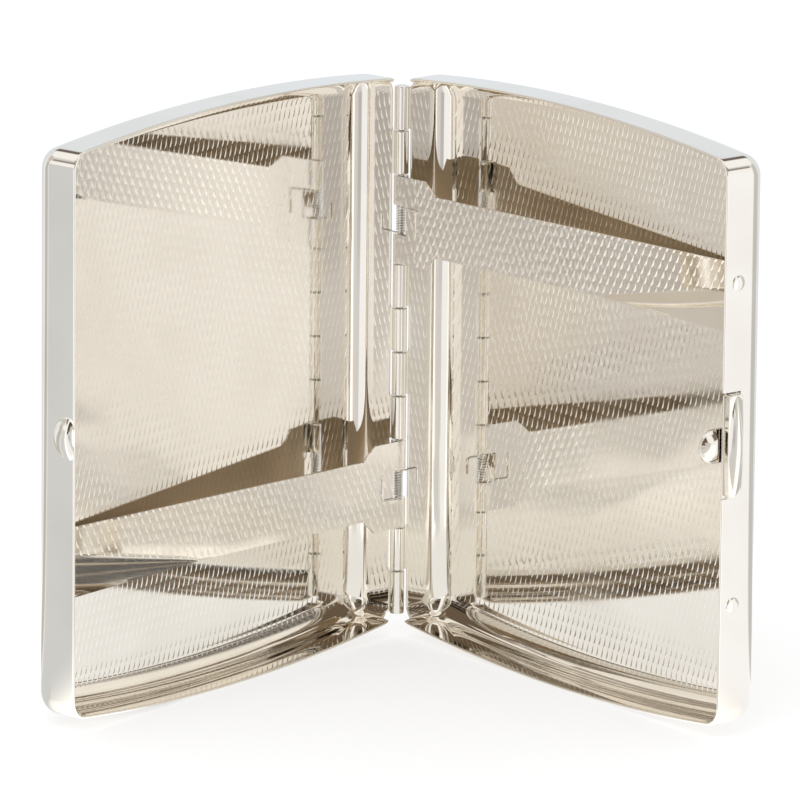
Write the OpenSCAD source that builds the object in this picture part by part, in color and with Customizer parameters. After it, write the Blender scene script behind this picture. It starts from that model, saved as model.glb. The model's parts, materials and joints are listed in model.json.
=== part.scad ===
// Two-sided cigarette case of polished plated sheet, standing on its end and open like a book.
// The hinge pin is vertical at the back, and the two trays open towards -Y.
// Each tray holds a row of cigarettes under a sprung arm that turns on the same hinge pin.
// A sprung catch behind the right front wall snaps into a pressed recess in the left front wall.

/* [Trays] */
// Length of a tray along the hinge, where its sides are straight
side_len = 95; // [85:0.5:110]
// How far the bowed ends of a tray rise beyond the straight sides
end_rise = 2.5; // [1:0.1:4]
// Distance from the hinge pin to the outside of the front wall
tray_w = 84.3; // [78:0.1:100]
// Distance from the plane where the two rims meet to the outside of the base
tray_depth = 9.6; // [9:0.1:14]
// Thickness of the sheet that a tray is pressed from
sheet = 0.5; // [0.4:0.05:0.8]
// Outside radius of the rounded edge between base and walls
base_r = 4.4; // [2.5:0.1:5]
// Radius of the tray's corners seen from the front, at the rim
corner_r = 3.2; // [2:0.1:6]
// Gap between the two rims when the case is shut
rim_gap = 0.3; // [0.2:0.05:0.6]

/* [Opening] */
// Angle between the two trays as they stand
open_angle = 77.6; // [40:0.1:120]

/* [Hinge] */
// Distance from each end of the straight sides to the row of knuckles
hinge_end_gap = 1.36; // [1:0.02:6]
// Outside radius of a knuckle
knuckle_r = 1.25; // [1.1:0.05:1.6]
// Radius of the hinge pin
pin_r = 0.5; // [0.4:0.05:0.7]
// Radial clearance of the pieces that turn on the pin
pin_clearance = 0.05; // [0.02:0.01:0.1]
// Gap between the ends of neighbouring knuckles
knuckle_gap = 0.16; // [0.1:0.02:0.3]
// Distance from the pin's axis to the outside of the spine wall
spine_offset = 0.2; // [0.15:0.05:0.4]
// Clearance between a knuckle and the other tray's wall
knuckle_clearance = 0.35; // [0.3:0.05:0.5]
// How far the notch in the spine wall runs on past the end knuckles
notch_run_out = 1; // [0.5:0.1:1.5]

/* [Arms] */
// Thickness of an arm's sheet
arm_sheet = 0.4; // [0.3:0.05:0.6]
// Width of an arm's strip
arm_w = 10.5; // [8:0.1:13]
// Gap between an arm's tip and the inside of the front wall
arm_end_gap = 4.4; // [4.3:0.1:13]
// Distance from the pin's axis to where the wide root starts to narrow
root_len = 6.6; // [5:0.1:8]
// Length over which the root narrows to the strip
shoulder_len = 2.7; // [1.5:0.1:5]
// Gap between an arm's tip and the base that it springs towards
arm_tip_gap = 0.15; // [0.1:0.05:0.4]
// Radius of the two corners of an arm's tip
arm_tip_r = 1.2; // [0.5:0.1:2]
// Length of the lead-in lip along the lower edge, back from the tip
lip_len = 32.4; // [20:0.1:45]
// Width of the lead-in lip at the tip
lip_w = 6.6; // [4:0.1:7.5]
// Height of the lip's free edge over the strip at the tip
lip_rise = 2.6; // [1:0.1:3]
// How far the lip's free edge flares beyond the strip's edge at the tip
lip_flare = 0.4; // [0:0.1:1]
// Length of the window for the spring between an arm's two barrels
window_len = 5.1; // [4.5:0.05:6]

/* [Arm springs] */
// Radius of the spring wire
wire_r = 0.15; // [0.12:0.01:0.18]
// Gap between the wire and the pin inside the coil
coil_clearance = 0.07; // [0.05:0.01:0.12]
// Whole turns in the coil, less the small angle between its two legs
coil_turns = 6; // [4:1:6]
// Gap between a coil's end and the barrel beside it
coil_end_gap = 0.15; // [0.1:0.05:0.3]
// Gap between a leg and the sheet that it bears on
leg_gap = 0.05; // [0.03:0.01:0.1]
// Reach of the leg on the arm, from the pin's axis
arm_leg_reach = 4.9; // [4:0.1:6]
// Length of the upright end of the leg on the arm
arm_leg_up = 4.4; // [3:0.1:6]
// Depth of the leg behind the rim of the other tray
wall_leg_depth = 3.5; // [3:0.1:4.5]
// Length of the upright end of the leg on the other tray's wall
wall_leg_up = 2.8; // [2:0.1:4]

/* [Catch] */
// Thickness of the leaf spring inside the right front wall
leaf_t = 0.5; // [0.3:0.05:0.6]
// Width of the leaf spring
leaf_w = 3.4; // [3:0.1:3.6]
// Length of the leaf spring
leaf_len = 60.5; // [56:0.5:70]
// Depth of the middle of the leaf spring behind the rim plane
leaf_depth = 2.85; // [2.7:0.05:3.1]
// Distance of each rivet from the middle of the catch
rivet_offset = 27.1; // [20:0.1:27.5]
// Radius of a rivet's shank
rivet_r = 0.7; // [0.5:0.05:0.9]
// Clearance between a rivet's shank and its holes
rivet_clearance = 0.04; // [0.02:0.01:0.1]
// Radius of a rivet's round head
rivet_head_r = 1.35; // [1.1:0.05:1.7]
// Height of a rivet's round head
rivet_head_h = 0.45; // [0.3:0.05:0.6]
// Length of the thumb piece
thumb_len = 17.3; // [12:0.1:22]
// Width of the thumb piece across the wall
thumb_w = 3.2; // [2.4:0.1:3.2]
// How far the thumb piece's plate stands out of the wall
thumb_proud = 1.2; // [0.8:0.1:1.6]
// Radius of the corners of the thumb piece's plate
thumb_corner_r = 0.8; // [0.3:0.1:1.2]
// Rise of the almond-shaped pad on the thumb piece
thumb_pad_rise = 1.1; // [0.5:0.1:1.5]
// Clearance between the thumb piece and its notch
thumb_clearance = 0.3; // [0.3:0.05:0.5]
// Gap between the thumb piece's plate and the plane where the rims meet
thumb_rim_gap = 0.35; // [0.3:0.05:0.6]
// Radius of the nose that reaches over the rim
nose_r = 2.9; // [2:0.1:3.2]
// Height of the nose over the plane where the rims meet
nose_reach = 3.75; // [3:0.05:4]
// Thickness of the nose's plate
nose_t = 0.6; // [0.4:0.05:0.8]
// Height of the foot of the boss's steep side over the plane where the rims meet
boss_low = 0.5; // [0.4:0.05:0.8]
// Width of the boss's steep side, from its foot to its crown
boss_steep = 0.65; // [0.5:0.05:1]
// Rise of the pressed boss on the nose
nose_rise = 1.2; // [0.9:0.05:1.3]
// Clearance between the nose's boss and the recess that it snaps into
recess_clearance = 0.4; // [0.3:0.05:0.5]
// How far the recess reaches beyond the boss on every side
recess_margin = 0.5; // [0.3:0.05:0.6]

/* [Hidden] */

polished = "gainsboro";
inside = "antiquewhite";
steel = "silver";

// Segments of a corner, of a bowed end and of the rounded base edge
corner_steps = 6;
end_steps = 16;
fillet_steps = 6;
// Sides and rings of a low dome
dome_sides = 24;
dome_rings = 5;
// Sides of the spring wire, and rings of wire to a turn of the coil
wire_sides = 6;
rings_per_turn = 8;
// Fragments of the true round pieces
round_fn = 48;
// Small overlap that joins two shapes of one piece
join = 0.05;
// How far a cut runs on past what it cuts
over = 1;

// Places of a tray's outline, in the tray's own frame: x runs away from the hinge pin,
// y points out of the open side, and z runs along the pin from the middle of the case.
half_open = open_angle / 2;
half_w = (tray_w - spine_offset) / 2;
mid_w = spine_offset + half_w;
end_radius = (half_w * half_w + end_rise * end_rise) / (2 * end_rise);
end_centre = side_len / 2 + end_rise - end_radius;
rim_y = -rim_gap / 2;
wall_in = tray_w - sheet;
case_h = side_len + 2 * end_rise;

// The hinge is twelve equal units: two knuckles, an arm on two units, four knuckles,
// an arm on two units, two knuckles.
hinge_len = side_len - 2 * hinge_end_gap;
units = 12;
unit = hinge_len / units;
right_units = [0, 4, 6, 10];
left_units = [1, 5, 7, 11];
arm_z = hinge_len / 2 - 3 * unit;
notch_y = -(knuckle_r + knuckle_clearance);

// The arm's sheet leaves its barrels just under their crown and falls to the tray's base.
crown_step = 0.07;
arm_top = knuckle_r - crown_step;
arm_low = arm_top - arm_sheet;
arm_len = wall_in - arm_end_gap;
tip_drop = tray_depth - sheet - arm_tip_gap;
arm_hyp = sqrt(arm_low * arm_low + arm_len * arm_len);
arm_fall = asin(tip_drop / arm_hyp) + atan(arm_low / arm_len);
root_half = unit - knuckle_gap / 2;
strip_half = arm_w / 2;
window_margin = 0.2;
window_x = knuckle_r + window_margin;

coil_r = pin_r + coil_clearance + wire_r;
coil_half = window_len / 2 - coil_end_gap - wire_r;

// The nose's boss has a steep side towards the rims, which holds the case shut, and a long round
// side. It keeps a narrow flat border, and the recess lies a little deeper than the boss.
boss_border = 0.15;
boss_half_l = nose_r - boss_border;
boss_y = boss_low + boss_steep;
boss_round = nose_reach - boss_y;
leaf_x = wall_in - leaf_t;
recess_rise = leaf_x + nose_rise + recess_clearance - wall_in;
recess_sink = 0.15;
skin_share = 0.7;
thumb_mid = -(thumb_rim_gap + thumb_w / 2);

// Signed distances that set the case in the middle of its box
cos_h = cos(half_open);
sin_h = sin(half_open);
back_reach = base_r - (spine_offset + base_r) * cos_h + (tray_depth - base_r) * sin_h;
boss_front = max([for (p = dome_points(boss_half_l, [boss_steep, boss_round], nose_rise, 1))
    (leaf_x + p[2]) * cos_h + (boss_y - p[1]) * sin_h]);
pad_front = max([for (p = dome_points(thumb_len / 2, [thumb_w / 2, thumb_w / 2], thumb_pad_rise, 0))
    (tray_w + thumb_proud + p[2]) * cos_h + (thumb_mid + p[1]) * sin_h]);
tab_front = leaf_x * cos_h + nose_reach * sin_h;
front_reach = max(boss_front, pad_front, tab_front, tray_w * cos_h + rim_y * sin_h);
hinge_y = (front_reach - back_reach) / 2;

// Outline of a tray inset by d from its walls, starting on the front side
function corner_radius(d) = max(corner_r - d / 2, corner_r / 2);

function half_outline(a, r, big) =
    let (
        x = a - r,
        z = end_centre + sqrt((big - r) * (big - r) - x * x),
        turn = atan2(z - end_centre, x)
    )
    concat(
        [for (i = [0:corner_steps]) let (t = turn * i / corner_steps)
            [x + r * cos(t), z + r * sin(t)]],
        [for (i = [1:end_steps - 1]) let (t = turn + (180 - 2 * turn) * i / end_steps)
            [big * cos(t), end_centre + big * sin(t)]],
        [for (i = [0:corner_steps]) let (t = 180 - turn + turn * i / corner_steps)
            [-x + r * cos(t), z + r * sin(t)]]
    );

function outline(d) =
    let (half = half_outline(half_w - d, corner_radius(d), end_radius - d))
    concat(half, [for (p = half) -p]);

function ring(d, y) = [for (p = outline(d)) [mid_w + p[0], y, p[1]]];

// One face of the rounded edge, from the base to the wall, at a distance from the outside
function fillet_rings(off) = [for (i = [0:fillet_steps])
    let (t = 90 * (1 - i / fillet_steps), r = base_r - off)
    ring(off + r * (1 - cos(t)), base_r - tray_depth - r * sin(t))];

// A closed solid through rings that have equal numbers of points, which run clockwise as seen
// from the last ring. A thin sheet's ring is a row of points and the same row back again.
module loft(rings, thin_sheet = false) {
    n = len(rings[0]);
    last = len(rings) - 1;
    points = [for (r = rings) each r];
    sides = [for (k = [0:last - 1]) for (i = [0:n - 1])
        let (j = (i + 1) % n)
        each [
            [k * n + i, k * n + j, (k + 1) * n + j],
            [k * n + i, (k + 1) * n + j, (k + 1) * n + i]
        ]];
    cap = thin_sheet
        ? [for (i = [0:n / 2 - 2]) [i, i + 1, n - 2 - i, n - 1 - i]]
        : [[for (i = [0:n - 1]) i]];
    first_cap = [for (face = cap) [for (i = [len(face) - 1:-1:0]) face[i]]];
    last_cap = [for (face = cap) [for (i = face) last * n + i]];
    polyhedron(points, concat(first_cap, sides, last_cap));
}

// A low dome on the plane z = 0, as rings from the rim to the crown. w has the widths on either
// side of the crown. round_end is 1 for a round boss and 0 for an almond with pointed ends.
function dome_outline(l, w, round_end) = [for (i = [0:dome_sides - 1])
    let (t = -360 * i / dome_sides, c = cos(t), s = sin(t), side = s > 0 ? w[0] : w[1])
    [l * c, side * (round_end == 1 ? s : s * abs(s))]];

function dome_ring(l, w, rise, round_end, k) =
    let (f = cos(90 * k / dome_rings), h = rise * (1 - f * f))
    [for (p = dome_outline(l, w, round_end)) [p[0] * f, p[1] * f, h]];

function dome_points(l, w, rise, round_end) =
    [for (k = [0:dome_rings]) each dome_ring(l, w, rise, round_end, k)];

module dome(l, w, rise, round_end) {
    foot = [for (p = dome_outline(l, w, round_end)) [p[0], p[1], -join]];
    rings = [for (k = [0:dome_rings - 1]) dome_ring(l, w, rise, round_end, k)];
    loft(concat([foot], rings));
}

// A round wire along a path, with rings that turn as little as they can
function unit_vector(v) = v / norm(v);

function tangents(path) = [for (i = [0:len(path) - 1])
    unit_vector(path[min(i + 1, len(path) - 1)] - path[max(i - 1, 0)])];

function carried(normal, tangent) = unit_vector(normal - (normal * tangent) * tangent);

function normals(t, first) = [
    for (i = 0, n = carried(first, t[0]); i < len(t); i = i + 1, n = carried(n, t[min(i, len(t) - 1)])) n
];

// first is a direction across the start of the path
function wire_rings(path, r, first) =
    let (t = tangents(path), n = normals(t, first))
    [for (i = [0:len(path) - 1])
        let (b = cross(n[i], t[i]))
        [for (k = [0:wire_sides - 1]) let (a = 360 * k / wire_sides)
            path[i] + r * (cos(a) * n[i] + sin(a) * b)]];

// The least gap between stretches of wire that lie at least one turn of the coil apart
function least_gap(path, apart, r) = min([
    for (i = [0:len(path) - 1 - apart]) for (j = [i + apart:len(path) - 1]) norm(path[i] - path[j])
]) - 2 * r;

// Places a tray's own frame in the case
module on_left() {
    translate([0, hinge_y, case_h / 2]) rotate([0, 0, -90 - half_open]) children();
}

module on_right() {
    mirror([1, 0, 0]) on_left() children();
}

// Places the frame of an arm, tipped towards its tray's base
module on_left_arm() {
    on_left() rotate([0, 0, -arm_fall]) children();
}

// A tray pressed from sheet, before its cuts
module tray() {
    outer = concat(fillet_rings(0), [ring(0, rim_y)]);
    inner = fillet_rings(sheet);
    inner_down = [for (i = [fillet_steps:-1:0]) inner[i]];
    loft(concat(outer, [ring(sheet, rim_y)], inner_down));
}

// A round bar along the hinge between two heights
module bar(r, low, high) {
    translate([0, 0, low]) cylinder(r = r, h = high - low, $fn = round_fn);
}

function unit_low(k) = hinge_len / 2 - (k + 1) * unit;

// The cut in a spine wall that clears the hinge and seats the tray's own knuckles
module hinge_cut(own_units) {
    half = hinge_len / 2 + notch_run_out;
    reach = 2 * corner_r;
    difference() {
        translate([-over, notch_y, -half]) cube([reach + over, tray_depth, 2 * half]);
        for (k = own_units) translate([-2 * over, notch_y - over, unit_low(k) + knuckle_gap / 2])
            cube([reach + 4 * over, tray_depth + 2 * over, unit - knuckle_gap]);
    }
    bar(knuckle_r, -half, half);
}

module knuckles(own_units, bore) {
    for (k = own_units) difference() {
        bar(knuckle_r, unit_low(k) + knuckle_gap / 2, unit_low(k) + unit - knuckle_gap / 2);
        bar(bore, unit_low(k) - over, unit_low(k) + unit + over);
    }
}

module left_shell() {
    color(inside) on_left() difference() {
        union() {
            tray();
            recess_dome(0);
        }
        recess_dome(1);
        hinge_cut(left_units);
    }
}

// The pressed recess of the catch: its outer skin, which ends at the rim, or the hollow behind it
module recess_dome(hollow) {
    skin = hollow == 1 ? 0 : sheet * skin_share;
    foot = hollow == 1 ? wall_in : tray_w;
    rise = hollow == 1 ? recess_rise : recess_rise + wall_in + sheet - tray_w;
    grown = recess_margin + skin / 2;
    mid = boss_y + recess_sink;
    translate([foot, -mid, 0]) rotate([90, 0, 90]) rotate([0, 0, 90])
        dome(boss_half_l + recess_margin + skin, [boss_round + grown, min(boss_steep + grown, mid + rim_y)],
            rise, 1);
}

module right_shell() {
    notch_low = -(thumb_rim_gap + thumb_w + thumb_clearance);
    notch_half = thumb_len / 2 + thumb_clearance;
    color(inside) on_right() difference() {
        tray();
        hinge_cut(right_units);
        translate([wall_in - over, notch_low, -notch_half])
            cube([sheet + 2 * over, tray_depth, 2 * notch_half]);
        for (s = [-1, 1]) rivet_hole(s * rivet_offset, wall_in, sheet);
    }
}

// A rivet's hole through a sheet of thickness t that starts at x
module rivet_hole(z, x, t) {
    translate([x - over, -leaf_depth, z]) rotate([0, 90, 0])
        cylinder(r = rivet_r + rivet_clearance, h = t + 2 * over, $fn = round_fn);
}

module left_knuckles() {
    color(polished) on_left() knuckles(left_units, pin_r);
}

module right_knuckles() {
    color(polished) on_right() knuckles(right_units, pin_r + pin_clearance);
}

module hinge_pin() {
    half = (hinge_len - knuckle_gap) / 2;
    color(steel) on_left() bar(pin_r, -half, half);
}

// Places along an arm's lip, which bends up along a slanted line from nothing to its full width
// at the tip: [distance from the pin, half width of the arm, share of the full lip]
tip_in = arm_tip_r * (1 - sqrt(0.5));
lip_start = arm_len - lip_len;
lip_seed = 0.3;
lip_steps = 5;
lip_rows = 5;
// How much of the lip's rise comes from its curl
lip_curl = 0.4;

lip_stations = concat(
    [for (i = [0:lip_steps]) let (f = i / lip_steps)
        [lip_start + f * (lip_len - arm_tip_r), strip_half, f]],
    [[arm_len - tip_in, strip_half - tip_in, 1], [arm_len, strip_half - arm_tip_r, 1]]
);

function bend_z(share) = lip_seed + (lip_w - lip_seed) * share - strip_half;

// The lip's face across one station, from just inside the bend down to the free edge
function lip_row(s) =
    let (
        share = s[2],
        bend = bend_z(share),
        span = bend + s[1] + lip_flare * share,
        rise = lip_rise * share * span / (span + strip_half - s[1])
    )
    concat(
        [[s[0], 0, bend + join]],
        [for (k = [0:lip_rows]) let (f = k / lip_rows)
            [s[0], rise * ((1 - lip_curl) * f + lip_curl * f * f), bend - span * f]]
    );

function lip_ring(s) =
    let (row = lip_row(s), n = len(row))
    concat([for (p = row) p + [0, arm_top, 0]], [for (i = [n - 1:-1:0]) row[i] + [0, arm_low, 0]]);

// The flat part of an arm, up to the line where the lip bends
arm_plate = [
    [0, -root_half], [root_len, -root_half], [root_len + shoulder_len, -strip_half],
    [lip_start + join, -strip_half], [lip_start + join, bend_z(0)],
    [arm_len - arm_tip_r, bend_z(1)], [arm_len, bend_z(1)],
    [arm_len, strip_half - arm_tip_r], [arm_len - tip_in, strip_half - tip_in],
    [arm_len - arm_tip_r, strip_half], [root_len + shoulder_len, strip_half],
    [root_len, root_half], [0, root_half]
];

// An arm in its own frame, with its middle at z = 0
module arm() {
    difference() {
        union() {
            translate([0, arm_top, 0]) rotate([90, 0, 0])
                linear_extrude(arm_sheet) polygon(arm_plate);
            loft([for (s = lip_stations) lip_ring(s)], thin_sheet = true);
            bar(knuckle_r, -root_half, root_half);
        }
        translate([-2 * over, -2 * over, -window_len / 2])
            cube([2 * over + window_x, 4 * over, window_len]);
        bar(pin_r + pin_clearance, -root_half - over, root_half + over);
    }
}

module lower_arm() {
    color(inside) on_left_arm() translate([0, 0, -arm_z]) arm();
}

module upper_arm() {
    color(inside) mirror([1, 0, 0]) on_left_arm() translate([0, 0, arm_z]) arm();
}

// The lower arm's spring, in the frame of the hinge axis with the middle of its coil at z = 0.
// One leg lies on the arm and the other behind the other tray's spine wall.
arm_x_angle = -90 - half_open - arm_fall;
arm_leg_turn = 120;
coil_start = arm_x_angle + arm_leg_turn;
coil_end = -90 + half_open + 360 * coil_turns;
coil_rings = round((coil_end - coil_start) / 360 * rings_per_turn);

function turned(p, angle) = [p[0] * cos(angle) - p[1] * sin(angle), p[0] * sin(angle) + p[1] * cos(angle), p[2]];

// A point in the lower arm's frame, and one in the right tray's frame
function on_arm_point(x, y, z) = turned([x, y, z], arm_x_angle);
function on_wall_point(x, y, z) = let (p = turned([x, y, z], -90 - half_open)) [-p[0], p[1], p[2]];

leg_y = arm_top + leg_gap + wire_r;
leg_x = spine_offset + sheet + leg_gap + wire_r;
// Radius of the bend in a leg, and its corner's distance in from the square corner
bend_r = 0.45;
bend_in = bend_r * (1 - sqrt(0.5));
// Where the legs lift off the coil: along and above the arm, and behind the other tray's rim
lift_along = 0.8;
lift_above = 1.3;
lift_behind = 1.2;

arm_leg = [
    on_arm_point(arm_leg_reach, leg_y, arm_leg_up - coil_half),
    on_arm_point(arm_leg_reach, leg_y, arm_leg_up - coil_half - 2 * wire_r),
    on_arm_point(arm_leg_reach, leg_y, bend_r - coil_half),
    on_arm_point(arm_leg_reach - bend_in, leg_y, bend_in - coil_half),
    on_arm_point(arm_leg_reach - bend_r, leg_y, -coil_half),
    on_arm_point(window_x + 2 * wire_r, leg_y, -coil_half),
    on_arm_point(lift_along, lift_above, -coil_half)
];

coil = [for (i = [0:coil_rings]) let (f = i / coil_rings, t = coil_start + (coil_end - coil_start) * f)
    [coil_r * cos(t), coil_r * sin(t), coil_half * (2 * f - 1)]];

wall_leg = [
    on_wall_point(leg_x, -lift_behind, coil_half),
    on_wall_point(leg_x, bend_r - wall_leg_depth, coil_half),
    on_wall_point(leg_x, bend_in - wall_leg_depth, coil_half - bend_in),
    on_wall_point(leg_x, -wall_leg_depth, coil_half - bend_r),
    on_wall_point(leg_x, -wall_leg_depth, coil_half - wall_leg_up + 2 * wire_r),
    on_wall_point(leg_x, -wall_leg_depth, coil_half - wall_leg_up)
];

spring_path = concat(arm_leg, coil, wall_leg);
echo(least_gap_of_a_spring_to_itself = least_gap(spring_path, rings_per_turn - 1, wire_r));

module lower_spring_wire() {
    translate([0, 0, -arm_z])
        loft(wire_rings(spring_path, wire_r, on_arm_point(0, 1, 0)));
}

module lower_arm_spring() {
    color(steel) translate([0, hinge_y, case_h / 2]) lower_spring_wire();
}

module upper_arm_spring() {
    color(steel) translate([0, hinge_y, case_h / 2]) rotate([0, 180, 0]) lower_spring_wire();
}

// The leaf spring lies against the inside of the right front wall between its two rivets
module latch_spring() {
    straight = leaf_len - leaf_w;
    color(steel) on_right() difference() {
        translate([leaf_x, -leaf_depth, 0]) rotate([0, 90, 0]) linear_extrude(leaf_t) union() {
            square([straight, leaf_w], center = true);
            for (s = [-1, 1]) translate([s * straight / 2, 0]) circle(leaf_w / 2, $fn = round_fn);
        }
        for (s = [-1, 1]) rivet_hole(s * rivet_offset, leaf_x, leaf_t);
    }
}

// A rivet through the front wall and the leaf spring, with a round head outside and in
module rivet(z) {
    n = corner_steps;
    head = [for (i = [0:n - 1]) let (t = 90 * i / n) [rivet_head_r * cos(t), rivet_head_h * sin(t)]];
    color(polished) on_right() translate([0, -leaf_depth, z]) rotate([0, 90, 0]) rotate_extrude($fn = round_fn)
        polygon(concat(
            [[0, tray_w + rivet_head_h]],
            [for (i = [n - 1:-1:0]) head[i] + [0, tray_w]],
            [[rivet_r, tray_w], [rivet_r, leaf_x]],
            [for (p = head) [p[0], leaf_x - p[1]]],
            [[0, leaf_x - rivet_head_h]]
        ));
}

module upper_rivet() {
    rivet(rivet_offset);
}

module lower_rivet() {
    rivet(-rivet_offset);
}

// A flat plate with round corners, in the middle of the plane z = 0
module round_cornered(l, w, t, r) {
    linear_extrude(t) union() {
        square([l - 2 * r, w], center = true);
        square([l, w - 2 * r], center = true);
        for (x = [-1, 1]) for (y = [-1, 1])
            translate([x * (l / 2 - r), y * (w / 2 - r)]) circle(r, $fn = round_fn);
    }
}

// The thumb piece bears on the leaf spring and fills its notch in the front wall up to the rim
module thumb_piece() {
    pad_half_w = thumb_w / 2 - join;
    color(polished) on_right() union() {
        translate([wall_in, thumb_mid - thumb_w / 2, -thumb_len / 2])
            cube([sheet, thumb_w / 2 + rim_y - thumb_mid, thumb_len]);
        translate([tray_w - join, thumb_mid, 0]) rotate([90, 0, 90]) rotate([0, 0, 90])
            round_cornered(thumb_len, thumb_w, thumb_proud + join, thumb_corner_r);
        translate([tray_w + thumb_proud, thumb_mid, 0]) rotate([90, 0, 90]) rotate([0, 0, 90])
            dome(thumb_len / 2 - join, [pad_half_w, pad_half_w], thumb_pad_rise, 0);
    }
}

// The nose: a plate on the leaf spring that rises over the rim, with a pressed boss facing outwards
module catch_nose() {
    centre_y = nose_reach - nose_r;
    foot_y = -leaf_depth - leaf_w / 2;
    color(polished) on_right() union() {
        translate([leaf_x - nose_t, 0, 0]) rotate([90, 0, 90]) linear_extrude(nose_t) union() {
            translate([centre_y, 0]) circle(nose_r, $fn = round_fn);
            translate([foot_y, -nose_r]) square([centre_y - foot_y, 2 * nose_r]);
        }
        translate([leaf_x, boss_y, 0]) rotate([90, 0, 90]) rotate([0, 0, 90])
            dome(boss_half_l, [boss_steep, boss_round], nose_rise, 1);
    }
}

left_shell();
right_shell();
left_knuckles();
right_knuckles();
hinge_pin();
upper_arm();
lower_arm();
upper_arm_spring();
lower_arm_spring();
latch_spring();
upper_rivet();
lower_rivet();
thumb_piece();
catch_nose();
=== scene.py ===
"""A two-sided cigarette case of plated sheet, standing on its end and open like a book.

Every piece is built in millimetres in the frame of its own tray or arm, and is then placed round
the hinge pin, which stands upright at the back of the case.
"""
import json
import logging
import math
from dataclasses import dataclass, field
from enum import Enum

import bmesh
import bpy
import numpy as np
from mathutils import Matrix, Vector

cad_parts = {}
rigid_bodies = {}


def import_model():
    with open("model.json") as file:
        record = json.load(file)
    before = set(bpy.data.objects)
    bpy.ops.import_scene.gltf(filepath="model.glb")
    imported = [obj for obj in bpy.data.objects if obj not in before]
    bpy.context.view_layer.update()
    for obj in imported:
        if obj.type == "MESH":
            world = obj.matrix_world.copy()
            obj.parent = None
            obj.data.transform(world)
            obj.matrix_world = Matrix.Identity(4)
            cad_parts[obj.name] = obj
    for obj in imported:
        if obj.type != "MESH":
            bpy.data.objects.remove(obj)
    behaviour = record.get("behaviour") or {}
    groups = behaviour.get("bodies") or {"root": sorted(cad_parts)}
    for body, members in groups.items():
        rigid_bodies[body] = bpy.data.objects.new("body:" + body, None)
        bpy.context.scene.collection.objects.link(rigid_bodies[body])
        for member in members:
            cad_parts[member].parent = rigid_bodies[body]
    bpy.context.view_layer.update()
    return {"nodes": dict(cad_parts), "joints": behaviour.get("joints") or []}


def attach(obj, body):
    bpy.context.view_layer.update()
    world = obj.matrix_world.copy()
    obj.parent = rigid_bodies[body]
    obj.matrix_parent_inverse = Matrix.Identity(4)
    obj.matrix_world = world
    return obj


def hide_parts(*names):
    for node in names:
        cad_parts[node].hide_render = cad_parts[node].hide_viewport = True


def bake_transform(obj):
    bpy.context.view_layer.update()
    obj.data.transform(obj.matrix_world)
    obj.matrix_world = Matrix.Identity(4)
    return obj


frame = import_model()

log = logging.getLogger("case")

MM = 0.001


class Side(Enum):
    """The two halves of the case, with the sign of their world X."""

    LEFT = -1
    RIGHT = 1


# ---------------------------------------------------------------------------------------------
# Places
# ---------------------------------------------------------------------------------------------


@dataclass(frozen=True)
class Hinge:
    """The upright pin, and the angles of what turns on it."""

    pin_y: float
    middle_z: float
    half_open: float

    def on_tray(self, side: Side, points: np.ndarray) -> np.ndarray:
        """Places points of a tray.

        Args:
            side: the tray.
            points: rows of distance from the pin, height over the rims' plane, and place along
                the pin from the middle of the case, in mm.

        Returns:
            Rows of world coordinates in metres.
        """
        u, n, z = np.asarray(points, float).T
        s, c = math.sin(math.radians(self.half_open)), math.cos(math.radians(self.half_open))
        x = side.value * (u * s - n * c)
        y = self.pin_y - u * c - n * s
        return np.stack([x, y, z + self.middle_z], 1) * MM

    def on_arm(self, side: Side, fall: float, along: float, points: np.ndarray) -> np.ndarray:
        """Places points of an arm, whose frame is tipped by the fall towards its tray's base.

        Args:
            side: the arm's tray.
            fall: the angle of the fall in degrees.
            along: the place of the arm's middle along the pin.
            points: rows of distance along the arm, height over the pin, and place across it.

        Returns:
            Rows of world coordinates in metres.
        """
        x, y, z = np.asarray(points, float).T
        s, c = math.sin(math.radians(fall)), math.cos(math.radians(fall))
        return self.on_tray(side, np.stack([x * c + y * s, y * c - x * s, z + along], 1))

    def on_pin(self, points: np.ndarray) -> np.ndarray:
        """World coordinates in metres of points round the pin's middle, in mm."""
        return (np.asarray(points, float) + [0, self.pin_y, self.middle_z]) * MM


def hinge_from_frame() -> Hinge:
    """The hinge's place and half the opening angle, from the joint between the halves."""
    joint = next(j for j in frame["joints"] if j["name"] == "lid_hinge")
    _, y, z = joint["pos_m"]
    return Hinge(pin_y=y / MM, middle_z=z / MM, half_open=-joint["range_deg"][0] / 2)


def ramp(x: np.ndarray, low: float, high: float) -> np.ndarray:
    """A smooth step from 0 at low to 1 at high."""
    t = np.clip((np.asarray(x, float) - low) / (high - low), 0, 1)
    return t * t * (3 - 2 * t)


# ---------------------------------------------------------------------------------------------
# Meshes
# ---------------------------------------------------------------------------------------------


@dataclass
class Sheet:
    """A mesh in the making.

    points are in mm, uv has the sheet coordinates of each point in mm, past tells how far each
    point lies past the embossed part, and back is 1 on an arm's back, which is rough and has a brown tint that paints
    the warm shade between arm and base.
    """

    points: np.ndarray
    faces: list[tuple[int, ...]]
    uv: np.ndarray
    past: np.ndarray
    back: np.ndarray | None = None

    def joined(self, other: "Sheet") -> "Sheet":
        """This sheet and another as one mesh."""
        n = len(self.points)
        moved = [tuple(i + n for i in f) for f in other.faces]
        return Sheet(
            np.concatenate([self.points, other.points]),
            self.faces + moved,
            np.concatenate([self.uv, other.uv]),
            np.concatenate([self.past, other.past]),
            np.concatenate([self.rough_shaded_back(), other.rough_shaded_back()]),
        )

    def rough_shaded_back(self) -> np.ndarray:
        """How far each point belongs to the rough back, whose brown tint is painted shade."""
        return np.zeros(len(self.points)) if self.back is None else self.back


def plain_sheet(points: np.ndarray, faces: list[tuple[int, ...]]) -> Sheet:
    """A mesh without embossing, with its length and width as sheet coordinates."""
    points = np.asarray(points, float)
    return Sheet(points, faces, points[:, [0, 2]].copy(), np.full(len(points), 99.0))


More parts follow.
